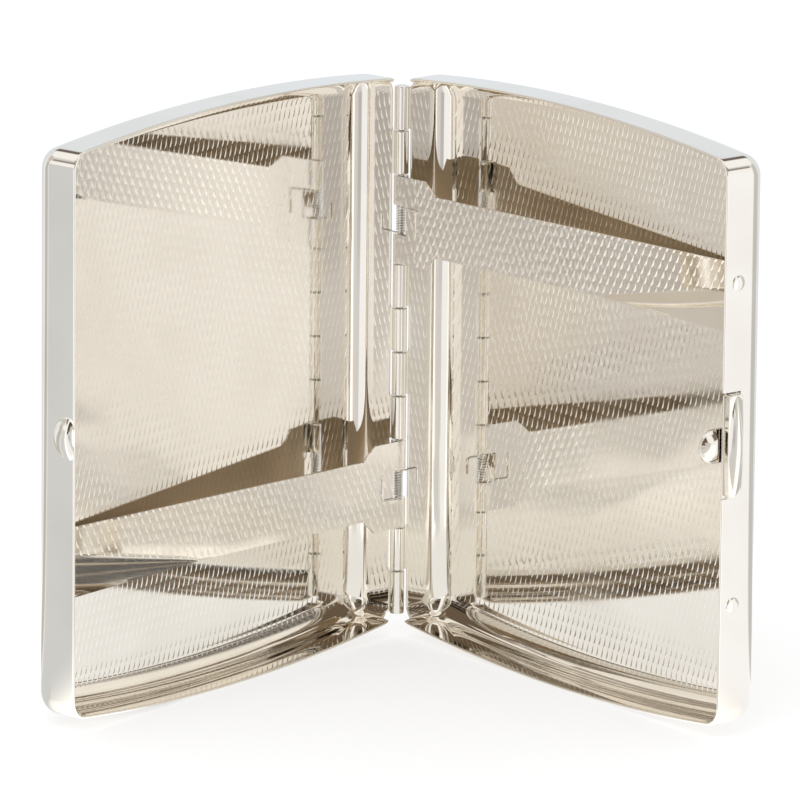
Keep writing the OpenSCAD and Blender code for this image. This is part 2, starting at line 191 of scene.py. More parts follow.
def band_faces(rows: int, columns: int, start: int = 0, closed: bool = True) -> list[tuple[int, ...]]:
    """Quads between rows of points.

    Args:
        rows: how many rows there are.
        columns: how many points a row has.
        start: the first point's number.
        closed: whether each row is a ring.

    Returns:
        The faces.
    """
    faces = []
    for k in range(rows - 1):
        for i in range(columns if closed else columns - 1):
            j = (i + 1) % columns
            a = start + k * columns
            faces.append((a + i, a + j, a + columns + j, a + columns + i))
    return faces


def lathe(profile: list[tuple[float, float]], sides: int) -> Sheet:
    """A turned solid round the z axis.

    Args:
        profile: radius and height of each ring, from the bottom pole to the top pole.
        sides: how many sides a ring has.

    Returns:
        The solid, with single points at its poles.
    """
    t = np.linspace(0, 2 * math.pi, sides, endpoint=False)
    rings = [np.stack([r * np.cos(t), r * np.sin(t), np.full(sides, h)], 1) for r, h in profile[1:-1]]
    poles = np.array([[0, 0, profile[0][1]], [0, 0, profile[-1][1]]])
    points = np.concatenate(rings + [poles])
    low, top = len(points) - 2, len(points) - 1
    faces = band_faces(len(rings), sides)
    last = (len(rings) - 1) * sides
    for i in range(sides):
        j = (i + 1) % sides
        faces += [(low, j, i), (top, last + i, last + j)]
    return plain_sheet(points, faces)


def new_object(name: str, mesh: bpy.types.Mesh) -> bpy.types.Object:
    """An object at the origin that shows a mesh."""
    piece = bpy.data.objects.new(name, mesh)
    bpy.context.scene.collection.objects.link(piece)
    return piece


def settled(piece: bpy.types.Object) -> bpy.types.Object:
    """The piece with its modifiers applied and removed."""
    bpy.context.view_layer.update()
    graph = bpy.context.evaluated_depsgraph_get()
    mesh = bpy.data.meshes.new_from_object(piece.evaluated_get(graph), preserve_all_data_layers=True, depsgraph=graph)
    old = piece.data
    piece.modifiers.clear()
    piece.data = mesh
    mesh.name = piece.name
    if old.users == 0:
        bpy.data.meshes.remove(old)
    return piece


def even_normals(piece: bpy.types.Object) -> bpy.types.Object:
    """Gives flat stretches their true normal beside round ones, and settles the piece."""
    weigh = piece.modifiers.new("weigh", "WEIGHTED_NORMAL")
    weigh.keep_sharp = True
    weigh.weight = 60
    return settled(piece)


@dataclass(frozen=True)
class Edge:
    """The rounding of a piece's edges: its width in mm, and the angle from which an edge counts."""

    width: float
    angle: float = 50.0
    steps: int = 3


def build(
    name: str,
    sheet: Sheet,
    world: np.ndarray,
    material: bpy.types.Material,
    sharp: float = 40.0,
    edge: Edge | None = None,
    merge: float = 0.0,
) -> bpy.types.Object:
    """Makes a finished piece of a sheet.

    Args:
        name: the piece's name.
        sheet: its mesh.
        world: where its points lie, in metres.
        material: its finish.
        sharp: the angle from which an edge stays sharp, in degrees.
        edge: how its edges are rounded, if they are.
        merge: points nearer than this many mm become one.

    Returns:
        The object.
    """
    mesh = bpy.data.meshes.new(name)
    mesh.from_pydata([tuple(p) for p in world], [], sheet.faces)
    corners = np.empty(len(mesh.loops), np.int32)
    mesh.loops.foreach_get("vertex_index", corners)
    layer = mesh.uv_layers.new(name="sheet")
    layer.uv.foreach_set("vector", sheet.uv[corners].astype(np.float32).ravel())
    past = mesh.attributes.new("past", "FLOAT", "POINT")
    past.data.foreach_set("value", sheet.past.astype(np.float32))
    back = mesh.attributes.new("back", "FLOAT", "POINT")
    back.data.foreach_set("value", sheet.rough_shaded_back().astype(np.float32))
    mesh.materials.append(material)
    work = bmesh.new()
    work.from_mesh(mesh)
    if merge:
        bmesh.ops.remove_doubles(work, verts=work.verts, dist=merge * MM)
    bmesh.ops.recalc_face_normals(work, faces=work.faces)
    work.to_mesh(mesh)
    work.free()
    mesh.shade_smooth()
    piece = new_object(name, mesh)
    if edge:
        bevel = piece.modifiers.new("edges", "BEVEL")
        bevel.width = edge.width * MM
        bevel.segments = edge.steps
        bevel.limit_method = "ANGLE"
        bevel.angle_limit = math.radians(edge.angle)
        bevel.use_clamp_overlap = True
        settled(piece)
    piece.data.set_sharp_from_angle(angle=math.radians(sharp))
    return even_normals(piece)


def report(piece: bpy.types.Object, body: str) -> None:
    """Logs what was made."""
    log.info("%s: %d faces, rides on %s", piece.name, len(piece.data.polygons), body)


def seat(piece: bpy.types.Object, body: str, slot: str, *nodes: str) -> bpy.types.Object:
    """Lets a finished piece ride on its body and stand for its nodes.

    Args:
        piece: the piece.
        body: the body that it rides on.
        slot: the name of a material slot; not used.
        nodes: the nodes that it stands for.

    Returns:
        The piece.
    """
    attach(piece, body)
    if nodes:
        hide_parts(*nodes)
    report(piece, body)
    return piece


# ---------------------------------------------------------------------------------------------
# Finishes
# ---------------------------------------------------------------------------------------------


class Graph:
    """Adds nodes to a shader tree and joins them."""

    def __init__(self, tree: bpy.types.NodeTree) -> None:
        """Starts on a tree."""
        self.tree = tree

    def node(self, kind: str, **settings: object) -> bpy.types.Node:
        """A new node, with its settings."""
        made = self.tree.nodes.new(kind)
        for name, value in settings.items():
            setattr(made, name, value)
        return made

    def join(self, source: object, target: bpy.types.NodeSocket) -> None:
        """Links a socket to another, or sets a plain value on it."""
        if isinstance(source, bpy.types.NodeSocket):
            self.tree.links.new(source, target)
        else:
            target.default_value = source

    def math(self, operation: str, a: object, b: object = 0.0, c: object = 0.0) -> bpy.types.NodeSocket:
        """The result of one sum on sockets or numbers."""
        made = self.node("ShaderNodeMath", operation=operation)
        for source, target in zip((a, b, c), made.inputs):
            self.join(source, target)
        return made.outputs[0]

    def step(self, value: object, low: float, high: float) -> bpy.types.NodeSocket:
        """A smooth step of a value from 0 at low to 1 at high, or down where high is the lower."""
        made = self.node("ShaderNodeMapRange", interpolation_type="SMOOTHSTEP")
        turned = high < low
        self.join(value, made.inputs["Value"])
        made.inputs["From Min"].default_value = min(low, high)
        made.inputs["From Max"].default_value = max(low, high)
        made.inputs["To Min"].default_value = 1.0 if turned else 0.0
        made.inputs["To Max"].default_value = 0.0 if turned else 1.0
        return made.outputs["Result"]

    def blend(self, share: object, first: object, second: object) -> bpy.types.NodeSocket:
        """A mix of two colours."""
        made = self.node("ShaderNodeMix", data_type="RGBA")
        self.join(share, made.inputs["Factor"])
        self.join(first, made.inputs[6])
        self.join(second, made.inputs[7])
        return made.outputs[2]

    def noise(self, place: object, size: float, detail: float = 2.0) -> bpy.types.NodeSocket:
        """Noise whose features are about size metres wide, from 0 to 1."""
        made = self.node("ShaderNodeTexNoise")
        self.join(place, made.inputs["Vector"])
        made.inputs["Scale"].default_value = 1.0 / size
        made.inputs["Detail"].default_value = detail
        return made.outputs[0]


Colour = tuple[float, float, float]


@dataclass(frozen=True)
class Emboss:
    """A pattern of flat diamonds in rows, each row half a diamond along from the last.

    Every diamond has a slanting flank along its upper left edge, tilted and with a painted highlight, and a thin
    painted shade line beside it. The sizes are in mm: the pitch along a row, the height of a row, and where the
    pattern fades past the flat of the sheet. The flank's width is a share of the pitch, and its slopes are rise over
    run.
    """

    pitch: float
    row: float
    fade_from: float
    fade_to: float
    flank: float = 0.27
    aside: float = 0.10
    downward: float = 0.16
    matt: float = 0.20


@dataclass(frozen=True)
class Plate:
    """Polished plated metal, plain or embossed."""

    name: str
    bright: Colour = (0.915, 0.872, 0.80)
    dull: Colour = (0.875, 0.828, 0.75)
    # cut: painted highlight, the brighter colour that the flanks of the diamonds get
    cut: Colour = (1.0, 0.985, 0.95)
    # shade_line: painted shade, the darker colour of a thin line beside each flank
    shade_line: Colour = (0.70, 0.65, 0.58)
    # inner: the arm's rough back, tinted brown as painted shade for the gap between arm and base
    inner: Colour = (0.80, 0.66, 0.49)
    smooth: float = 0.035
    worn: float = 0.085
    wave: float = 0.010
    wave_size: float = 22.0
    scratch: float = 0.0005
    emboss: Emboss | None = None

    def material(self) -> bpy.types.Material:
        """Makes the material."""
        made = bpy.data.materials.new(self.name)
        made.use_nodes = True
        made.node_tree.nodes.clear()
        g = Graph(made.node_tree)
        place = g.node("ShaderNodeTexCoord").outputs["Object"]
        shader = g.node("ShaderNodeBsdfPrincipled")
        shader.inputs["Metallic"].default_value = 1.0
        clouds = g.noise(place, 0.016, 3.0)
        specks = g.noise(place, 0.0011, 2.0)
        tint = g.blend(g.step(clouds, 0.35, 0.7), self.bright + (1.0,), self.dull + (1.0,))
        rough = g.math("MULTIPLY_ADD", g.step(clouds, 0.4, 0.75), self.worn - self.smooth, self.smooth)
        rough = g.math("MULTIPLY_ADD", g.step(specks, 0.55, 0.8), 0.03, rough)
        height = g.math("MULTIPLY", g.noise(place, self.wave_size * MM, 1.0), self.wave * MM)
        grain = g.math("MULTIPLY", self._scratches(g, place), self.scratch * MM)
        bump = g.node("ShaderNodeBump")
        bump.inputs["Strength"].default_value = 1.0
        bump.inputs["Distance"].default_value = 1.0
        g.join(g.math("ADD", height, grain), bump.inputs["Height"])
        if self.emboss:
            normal, flank, shade_line = self._diamonds(g, self.emboss)
            g.join(normal, bump.inputs["Normal"])
            # Painted highlight: on top of their tilt, the flanks get a brighter colour.
            tint = g.blend(flank, tint, self.cut + (1.0,))
            # Painted shade: a thin darker line beside each flank.
            tint = g.blend(shade_line, tint, self.shade_line + (1.0,))
            # Partly painted shade: the back is rougher, and its brown tint stands in for the warm shade behind the
            # arm.
            back = g.node("ShaderNodeAttribute", attribute_name="back").outputs["Fac"]
            tint = g.blend(back, tint, self.inner + (1.0,))
            rough = g.math("MULTIPLY_ADD", flank, self.emboss.matt, rough)
            rough = g.math("MULTIPLY_ADD", back, 0.5, rough)
        g.join(tint, shader.inputs["Base Color"])
        g.join(rough, shader.inputs["Roughness"])
        g.join(bump.outputs[0], shader.inputs["Normal"])
        g.join(shader.outputs[0], g.node("ShaderNodeOutputMaterial").inputs["Surface"])
        return made

    def _scratches(self, g: Graph, place: bpy.types.NodeSocket) -> bpy.types.NodeSocket:
        """Fine hairlines of cleaning, in two directions."""
        heights = []
        for turn, size in ((0.5, 0.0005), (2.1, 0.0007)):
            lay = g.node("ShaderNodeMapping")
            lay.inputs["Rotation"].default_value = (turn, turn * 0.7, turn * 0.4)
            lay.inputs["Scale"].default_value = (1.0, 0.04, 1.0)
            g.join(place, lay.inputs["Vector"])
            heights.append(g.noise(lay.outputs[0], size, 1.0))
        return g.math("ADD", *heights)

    def _diamonds(self, g: Graph, e: Emboss) -> tuple[bpy.types.NodeSocket, ...]:
        """The tangent normal of the diamonds, and masks of their flanks and of the painted shade lines beside them."""
        split = g.node("ShaderNodeSeparateXYZ")
        g.join(g.node("ShaderNodeUVMap", uv_map="sheet").outputs[0], split.inputs[0])
        past = g.node("ShaderNodeAttribute", attribute_name="past").outputs["Fac"]
        x = g.math("MULTIPLY", split.outputs[0], 1.0 / e.pitch)
        z = g.math("MULTIPLY", split.outputs[1], 0.5 / e.row)
        within = g.math("FRACT", g.math("ADD", g.math("SUBTRACT", x, z), 0.5))
        swell = g.math("ABSOLUTE", g.math("COSINE", g.math("MULTIPLY", g.math("ADD", x, z), math.pi)))
        width = g.math("MULTIPLY_ADD", swell, e.flank, 1e-3)
        share = g.math("DIVIDE", within, width)
        patterned = g.step(past, e.fade_to, e.fade_from)
        flank = g.math("MULTIPLY", g.step(share, 1.0, 0.72), g.step(share, 0.0, 0.15))
        flank = g.math("MULTIPLY", flank, patterned)
        # Painted shade: the mask of a thin line just before each flank.
        shade_line = g.math("MULTIPLY", g.step(within, 0.91, 0.97), g.math("MULTIPLY", swell, 0.25))
        shade_line = g.math("MULTIPLY", shade_line, patterned)
        vector = g.node("ShaderNodeCombineXYZ")
        g.join(g.math("MULTIPLY", flank, -e.aside), vector.inputs[0])
        g.join(g.math("MULTIPLY", flank, -e.downward), vector.inputs[1])
        vector.inputs[2].default_value = 1.0
        unit = g.node("ShaderNodeVectorMath", operation="NORMALIZE")
        g.join(vector.outputs[0], unit.inputs[0])
        coded = g.node("ShaderNodeVectorMath", operation="MULTIPLY_ADD")
        g.join(unit.outputs[0], coded.inputs[0])
        coded.inputs[1].default_value = (0.5, 0.5, 0.5)
        coded.inputs[2].default_value = (0.5, 0.5, 0.5)
        normal = g.node("ShaderNodeNormalMap", space="TANGENT", uv_map="sheet")
        g.join(coded.outputs[0], normal.inputs["Color"])
        return normal.outputs[0], flank, shade_line


@dataclass(frozen=True)
class Wire:
    """Bright drawn steel of a spring."""

    name: str = "drawn_steel"
    bright: Colour = (0.96, 0.94, 0.91)
    dull: Colour = (0.84, 0.81, 0.77)

    def material(self) -> bpy.types.Material:
        """Makes the material."""
        made = bpy.data.materials.new(self.name)
        made.use_nodes = True
        made.node_tree.nodes.clear()
        g = Graph(made.node_tree)
        place = g.node("ShaderNodeTexCoord").outputs["Object"]
        shader = g.node("ShaderNodeBsdfPrincipled")
        shader.inputs["Metallic"].default_value = 1.0
        marks = g.noise(place, 0.0012, 3.0)
        g.join(g.blend(g.step(marks, 0.4, 0.7), self.bright + (1.0,), self.dull + (1.0,)), shader.inputs["Base Color"])
        g.join(g.math("MULTIPLY_ADD", marks, 0.12, 0.07), shader.inputs["Roughness"])
        bump = g.node("ShaderNodeBump")
        bump.inputs["Distance"].default_value = 1.0
        bump.inputs["Strength"].default_value = 1.0
        g.join(g.math("MULTIPLY", g.noise(place, 0.0003, 2.0), 2e-6), bump.inputs["Height"])
        g.join(bump.outputs[0], shader.inputs["Normal"])
        g.join(shader.outputs[0], g.node("ShaderNodeOutputMaterial").inputs["Surface"])
        return made


# ---------------------------------------------------------------------------------------------
# Trays
# ---------------------------------------------------------------------------------------------


@dataclass(frozen=True)
class CaseSizes:
    """Sizes that several pieces of the case share, in mm."""

    side_len: float = 95.0
    end_rise: float = 2.5
    tray_w: float = 84.3
    tray_depth: float = 9.6
    sheet: float = 0.5
    base_r: float = 4.4
    corner_r: float = 3.2
    rim_gap: float = 0.3
    hinge_end_gap: float = 1.36
    units: int = 12
    knuckle_r: float = 1.25
    pin_r: float = 0.5
    pin_clearance: float = 0.05
    knuckle_gap: float = 0.16
    spine_offset: float = 0.2
    knuckle_clearance: float = 0.35
    notch_run_out: float = 1.0
    leaf_t: float = 0.5
    leaf_depth: float = 2.85
    rivet_offset: float = 27.1
    thumb_len: float = 17.3
    thumb_w: float = 3.2
    thumb_rim_gap: float = 0.35
    thumb_clearance: float = 0.3
    nose_r: float = 2.9
    nose_reach: float = 3.75
    nose_rise: float = 1.2
    boss_low: float = 0.5
    boss_steep: float = 0.65
    boss_border: float = 0.15

    @property
    def half_w(self) -> float:
        """Half the width of a tray."""
        return (self.tray_w - self.spine_offset) / 2

    @property
    def mid_w(self) -> float:
        """Distance of a tray's middle from the pin."""
        return self.spine_offset + self.half_w

    @property
    def end_radius(self) -> float:
        """Radius of a tray's bowed ends."""
        return (self.half_w**2 + self.end_rise**2) / (2 * self.end_rise)

    @property
    def end_centre(self) -> float:
        """Height of the bowed top end's centre over the middle."""
        return self.side_len / 2 + self.end_rise - self.end_radius

    @property
    def rim(self) -> float:
        """Height of a rim over the plane where the rims meet."""
        return -self.rim_gap / 2

    @property
    def wall_in(self) -> float:
        """Distance of the front wall's inside from the pin."""
        return self.tray_w - self.sheet

    @property
    def hinge_len(self) -> float:
        """Length of the row of knuckles."""
        return self.side_len - 2 * self.hinge_end_gap

    @property
    def unit(self) -> float:
        """Length of one step of the hinge."""
        return self.hinge_len / self.units

    @property
    def arm_along(self) -> float:
        """Distance of an arm's middle from the middle of the case."""
        return self.hinge_len / 2 - 3 * self.unit

    def unit_middle(self, k: int) -> float:
        """Place of a knuckle's middle, counted from the top."""
        return self.hinge_len / 2 - (k + 0.5) * self.unit


@dataclass
class Tray:
    """One half of the case: a shallow tray pressed from sheet, with bowed ends.

    The sheet runs from the middle of the inside, up the walls, over the rim and round the
    outside. The sizes are in mm, and the counts are of steps.
    """

    side: Side
    own_units: tuple[int, ...]
    case: CaseSizes
    hinge: Hinge
    straight: float = 42.0
    corner_steps: int = 14
    end_steps: int = 64
    fillet_steps: int = 20
    wall_steps: int = 22
    rim_round: float = 0.245
    rim_steps: int = 5
    step_width: float = 0.02
    catch_reach: float = 5.5
    catch_steps: int = 49
    recess_rise: float = 1.1
    recess_middle: float = -1.3
    recess_inside: tuple[float, float, float] = (3.25, 1.15, 3.1)
    recess_outside: tuple[float, float, float] = (3.6, 1.2, 3.28)
    seat_drop: float = 1.1

    def _notch_stops(self) -> list[float]:
        """Places along the straight spine where the wall's height jumps."""
        stops = []
        half = (self.case.unit - self.case.knuckle_gap) / 2
        for k in self.own_units:
            middle = self.case.unit_middle(k)
            stops += [middle - half, middle + half]
        return [s for s in stops if abs(s) < self.straight]

    def _run(self, stops: list[float], low: float, high: float, step: float) -> np.ndarray:
        """Places along a straight side, with a pair of them at every jump."""
        marks = np.linspace(low, high, int((high - low) / step) + 1)
        pairs = [s + d * self.step_width / 2 for s in stops for d in (-1, 1) if low < s < high]
        kept = [m for m in marks if all(abs(m - s) > 3 * self.step_width for s in stops)]
        return np.array(sorted(kept + pairs))

    def _front_places(self) -> np.ndarray:
        """Places along the front side, close together round the catch."""
        near = np.linspace(-self.catch_reach, self.catch_reach, self.catch_steps)
        stops: list[float] = []
        if self.side is Side.RIGHT:
            half = self.case.thumb_len / 2 + self.case.thumb_clearance
            stops = [-half, half]
        up = self._run(stops, self.catch_reach + 1.0, self.straight, 3.0)
        return np.concatenate([-up[::-1], near, up])

    def _upper_half(self, inset: float) -> tuple[np.ndarray, np.ndarray]:
        """Points and outward normals of a corner, the bowed end and the other corner."""
        c = self.case
        r = max(c.corner_r - inset / 2, c.corner_r / 2)
        big = c.end_radius - inset
        x = c.half_w - inset - r
        z = c.end_centre + math.sqrt((big - r) ** 2 - x * x)
        turn = math.atan2(z - c.end_centre, x)
        corner = np.linspace(0, turn, self.corner_steps + 1)
        bow = np.linspace(turn, math.pi - turn, self.end_steps + 1)[1:-1]
        first = np.stack([x + r * np.cos(corner), z + r * np.sin(corner)], 1)
        end = np.stack([big * np.cos(bow), c.end_centre + big * np.sin(bow)], 1)
        last = first[::-1] * [-1, 1]
        angle = np.concatenate([corner, bow, math.pi - corner[::-1]])
        return np.concatenate([first, end, last]), np.stack([np.cos(angle), np.sin(angle)], 1)

    def outline(self, inset: float) -> tuple[np.ndarray, np.ndarray]:
        """Points and outward normals of the tray's outline, seen from its open side.

        Args:
            inset: how far it lies inside the walls' outer face.

        Returns:
            Rows of x and z from the tray's middle, and their normals.
        """
        front = self._front_places()
        spine = self._run(self._notch_stops(), -self.straight, self.straight, 2.0)[::-1]
        edge = self.case.half_w - inset
        points, normals = self._upper_half(inset)
        up, down = front[front >= 0], front[front < 0]
        parts = [
            (np.stack([np.full(len(up), edge), up], 1), np.tile([1.0, 0.0], (len(up), 1))),
            (points, normals),
            (np.stack([np.full(len(spine), -edge), spine], 1), np.tile([-1.0, 0.0], (len(spine), 1))),
            (-points, -normals),
            (np.stack([np.full(len(down), edge), down], 1), np.tile([1.0, 0.0], (len(down), 1))),
        ]
        return np.concatenate([p for p, _ in parts]), np.concatenate([n for _, n in parts])

    def _tops(self) -> np.ndarray:
        """The height at which the sheet ends, at each point of the outline."""
        c = self.case
        points, _ = self.outline(c.sheet / 2)
        x, z = points[:, 0] + c.mid_w, points[:, 1]
        tops = np.full(len(points), c.rim)
        by_hinge = (x < 2 * c.corner_r) & (np.abs(z) < c.hinge_len / 2 + c.notch_run_out)
        tops[by_hinge] = -(c.knuckle_r + c.knuckle_clearance)
        half = (c.unit - c.knuckle_gap) / 2
        for k in self.own_units:
            own = by_hinge & (np.abs(z - c.unit_middle(k)) < half) & (x < c.knuckle_r)
            tops[own] = -self.seat_drop
        if self.side is Side.RIGHT:
            notch = (x > c.mid_w) & (np.abs(z) < c.thumb_len / 2 + c.thumb_clearance)
            notch &= points[:, 0] > c.half_w - c.sheet
            tops[notch] = -(c.thumb_rim_gap + c.thumb_w + c.thumb_clearance)
        return tops

    def _recess(self, y: np.ndarray, z: np.ndarray, reach: tuple[float, float, float]) -> np.ndarray:
        """How far the pressed recess pushes the front wall outwards."""
        along, rimward, down = reach
        off = y - self.recess_middle
        width = np.where(off > 0, rimward, down)
        inside = 1 - (z / along) ** 2 - (off / width) ** 2
        soft = 0.05
        rise = (inside + np.sqrt(inside**2 + soft**2)) / 2 - soft**2 / (4 * (np.abs(inside) + soft))
        return self.recess_rise * np.clip(rise, 0, 1) * ramp(y, self.case.rim + 0.02, self.case.rim - 0.2)

    def _rings(self) -> list[tuple[float, np.ndarray, float]]:
        """Every ring from the inside's flat to the outside's flat: inset, heights, and how far
        the sheet has run from the flat."""
        c = self.case
        tops = self._tops()
        foot = c.base_r - c.tray_depth
        e = self.rim_round
        count = len(tops)
        rings: list[tuple[float, np.ndarray, float]] = []

        def fillet(off: float) -> list[tuple[float, np.ndarray, float]]:
            r = c.base_r - off
            made = []
            for i in range(self.fillet_steps + 1):
                t = math.pi / 2 * (1 - i / self.fillet_steps)
                height = foot - r * math.sin(t)
                made.append((off + r * (1 - math.cos(t)), np.full(count, height), r * (math.pi / 2 - t)))
            return made

        def wall(off: float) -> list[tuple[float, np.ndarray, float]]:
            r = c.base_r - off
            made = []
            for i in range(1, self.wall_steps + 1):
                f = i / self.wall_steps
                heights = foot + (tops - e - foot) * f
                made.append((off, heights, r * math.pi / 2 + (c.rim - e - foot) * f))
            return made

        inner, outer = fillet(c.sheet) + wall(c.sheet), fillet(0) + wall(0)
        rings += inner
        for i in range(1, self.rim_steps + 1):
            t = math.pi / 2 * i / self.rim_steps
            rings.append((c.sheet - e * (1 - math.cos(t)), tops - e + e * math.sin(t), inner[-1][2] + e * t))
        for i in range(self.rim_steps, 0, -1):
            t = math.pi / 2 * i / self.rim_steps
            rings.append((e * (1 - math.cos(t)), tops - e + e * math.sin(t), outer[-1][2] + e * t))
        return rings + outer[::-1]

    def mesh(self) -> Sheet:
        """The whole tray as one closed sheet."""
        c = self.case
        rings = self._rings()
        flat, out = self.outline(c.base_r)
        half = len(rings) // 2
        points, uv, past = [], [], []
        for k, (inset, heights, run) in enumerate(rings):
            ring, _ = self.outline(inset)
            x = ring[:, 0] + c.mid_w
            if self.side is Side.LEFT:
                front = ring[:, 0] > c.half_w - c.sheet - 0.01
                reach = self.recess_inside if k < half else self.recess_outside
                x = x + front * self._recess(heights, ring[:, 1], reach)
            points.append(np.stack([x, heights, ring[:, 1]], 1))
            lay = flat + out * run
            uv.append(lay * [self.side.value, 1.0])
            past.append(np.full(len(ring), run))
        n = len(flat)
        faces = band_faces(len(rings), n)
        last = (len(rings) - 1) * n
        faces.append(tuple(range(n)))
        faces.append(tuple(last + i for i in range(n)))
        return Sheet(np.concatenate(points), faces, np.concatenate(uv), np.concatenate(past))

    def make(self, body: str, node: str, finish: bpy.types.Material) -> None:
        """Builds the tray and seats it on its body."""
        sheet = self.mesh()
        world = self.hinge.on_tray(self.side, sheet.points)
        piece = build(f"{self.side.name.lower()}_tray", sheet, world, finish, sharp=46)
        seat(piece, body, "tray_metal", node)


# ---------------------------------------------------------------------------------------------
# Hinge
# ---------------------------------------------------------------------------------------------


class NodeTree:
    """Builds a geometry node tree with named inputs and reads it back."""

    def __init__(self, name: str, takes_geometry: bool = True) -> None:
        """Starts a tree that turns a piece's points into its shape."""
        self.tree = bpy.data.node_groups.new(name, "GeometryNodeTree")
        face = self.tree.interface
        self.ids: dict[str, str] = {}
        if takes_geometry:
            face.new_socket("Geometry", in_out="INPUT", socket_type="NodeSocketGeometry")
        face.new_socket("Geometry", in_out="OUTPUT", socket_type="NodeSocketGeometry")
        self.inside = self.tree.nodes.new("NodeGroupInput")
        self.outside = self.tree.nodes.new("NodeGroupOutput")

    def size(self, name: str, kind: str = "NodeSocketFloat") -> bpy.types.NodeSocket:
        """A new named input, and the socket that gives it inside the tree."""
        made = self.tree.interface.new_socket(name, in_out="INPUT", socket_type=kind)
        self.ids[name] = made.identifier
        return next(s for s in self.inside.outputs if s.identifier == made.identifier)

    def node(self, kind: str, inputs: dict[str, object] | None = None, **settings: object) -> bpy.types.Node:
        """A new node with its settings, and its inputs linked or set."""
        made = self.tree.nodes.new(kind)
        for name, value in settings.items():
            setattr(made, name, value)
        for name, value in (inputs or {}).items():
            if isinstance(value, bpy.types.NodeSocket):
                self.tree.links.new(value, made.inputs[name])
            else:
                made.inputs[name].default_value = value
        return made

    def close(self, shape: bpy.types.NodeSocket, material: bpy.types.NodeSocket) -> None:
        """Ends the tree in real geometry with its material."""
        real = self.node("GeometryNodeRealizeInstances", {"Geometry": shape})
        smooth = self.node("GeometryNodeSetShadeSmooth", {"Geometry": real.outputs[0]})
        dressed = self.node("GeometryNodeSetMaterial", {"Geometry": smooth.outputs[0], "Material": material})
        self.tree.links.new(dressed.outputs[0], self.outside.inputs[0])

    def applied(self, name: str, points: np.ndarray, edges: list[tuple[int, int]], values: dict[str, object]) -> bpy.types.Object:
        """Runs the tree on points and edges and keeps the result as a plain mesh.

        Args:
            name: the piece's name.
            points: rows of world coordinates in metres.
            edges: pairs of points.
            values: a value for each named input.

        Returns:
            The finished object.
        """
        mesh = bpy.data.meshes.new(name)
        mesh.from_pydata([tuple(p) for p in points], edges, [])
        piece = new_object(name, mesh)
        run = piece.modifiers.new("shape", "NODES")
        run.node_group = self.tree
        for label, value in values.items():
            run[self.ids[label]] = value
        piece = settled(piece)
        work = bmesh.new()
        work.from_mesh(piece.data)
        bmesh.ops.remove_doubles(work, verts=work.verts, dist=1e-6)
        bmesh.ops.recalc_face_normals(work, faces=work.faces)
        work.to_mesh(piece.data)
        work.free()
        piece.data.set_sharp_from_angle(angle=math.radians(50))
        return even_normals(piece)


def knuckle_tree() -> NodeTree:
    """Tubes with rounded ends, one on every point."""
    t = NodeTree("knuckle_row")
    outer, bore = t.size("Outer radius"), t.size("Bore radius")
    length, rounding = t.size("Length"), t.size("End rounding")
    sides, material = t.size("Sides", "NodeSocketInt"), t.size("Material", "NodeSocketMaterial")
    both = t.node("ShaderNodeMath", operation="ADD")
    t.tree.links.new(outer, both.inputs[0])
    t.tree.links.new(bore, both.inputs[1])
    middle = t.node("ShaderNodeMath", operation="MULTIPLY")
    t.tree.links.new(both.outputs[0], middle.inputs[0])
    middle.inputs[1].default_value = 0.5
    wall = t.node("ShaderNodeMath", operation="SUBTRACT")
    t.tree.links.new(outer, wall.inputs[0])
    t.tree.links.new(bore, wall.inputs[1])
    way = t.node("GeometryNodeCurvePrimitiveCircle", {"Resolution": sides, "Radius": middle.outputs[0]})
    cut = t.node("GeometryNodeCurvePrimitiveQuadrilateral", {"Width": wall.outputs[0], "Height": length})
    soft = t.node("GeometryNodeFilletCurve", {"Curve": cut.outputs[0], "Radius": rounding, "Count": 4}, mode="POLY")
    tube = t.node("GeometryNodeCurveToMesh", {"Curve": way.outputs[0], "Profile Curve": soft.outputs[0]})
    spots = t.node("GeometryNodeMeshToPoints", {"Mesh": t.inside.outputs[0]})
    row = t.node("GeometryNodeInstanceOnPoints", {"Points": spots.outputs[0], "Instance": tube.outputs[0]})
    t.close(row.outputs[0], material)
    return t


def wire_tree() -> NodeTree:
    """A round wire along a path, with closed ends."""
    t = NodeTree("spring_wire")
    radius, sides = t.size("Wire radius"), t.size("Sides", "NodeSocketInt")
    material = t.size("Material", "NodeSocketMaterial")
    path = t.node("GeometryNodeMeshToCurve", {"Mesh": t.inside.outputs[0]})
    ring = t.node("GeometryNodeCurvePrimitiveCircle", {"Resolution": sides, "Radius": radius})
    inputs = {"Curve": path.outputs[0], "Profile Curve": ring.outputs[0], "Fill Caps": True}
    wire = t.node("GeometryNodeCurveToMesh", inputs)
    t.close(wire.outputs[0], material)
    return t


def rivet_tree() -> NodeTree:
    """Turned rivets in a row, from the outline of one."""
    t = NodeTree("rivet_row")
    radius, sides = t.size("Outline shift"), t.size("Sides", "NodeSocketInt")
    count, start = t.size("Rivets", "NodeSocketInt"), t.size("First place", "NodeSocketVector")
    spacing, turn = t.size("Spacing", "NodeSocketVector"), t.size("Axis turn", "NodeSocketVector")
    material = t.size("Material", "NodeSocketMaterial")
    way = t.node("GeometryNodeCurvePrimitiveCircle", {"Resolution": sides, "Radius": radius})
    cut = t.node("GeometryNodeMeshToCurve", {"Mesh": t.inside.outputs[0]})
    turned = t.node("GeometryNodeCurveToMesh", {"Curve": way.outputs[0], "Profile Curve": cut.outputs[0]})
    closed = t.node("GeometryNodeMergeByDistance", {"Geometry": turned.outputs[0], "Distance": 1e-6})
    spots = t.node("GeometryNodeMeshLine", {"Count": count, "Start Location": start, "Offset": spacing})
    inputs = {"Points": spots.outputs[0], "Instance": closed.outputs[0], "Rotation": turn}
    row = t.node("GeometryNodeInstanceOnPoints", inputs)
    t.close(row.outputs[0], material)
    return t


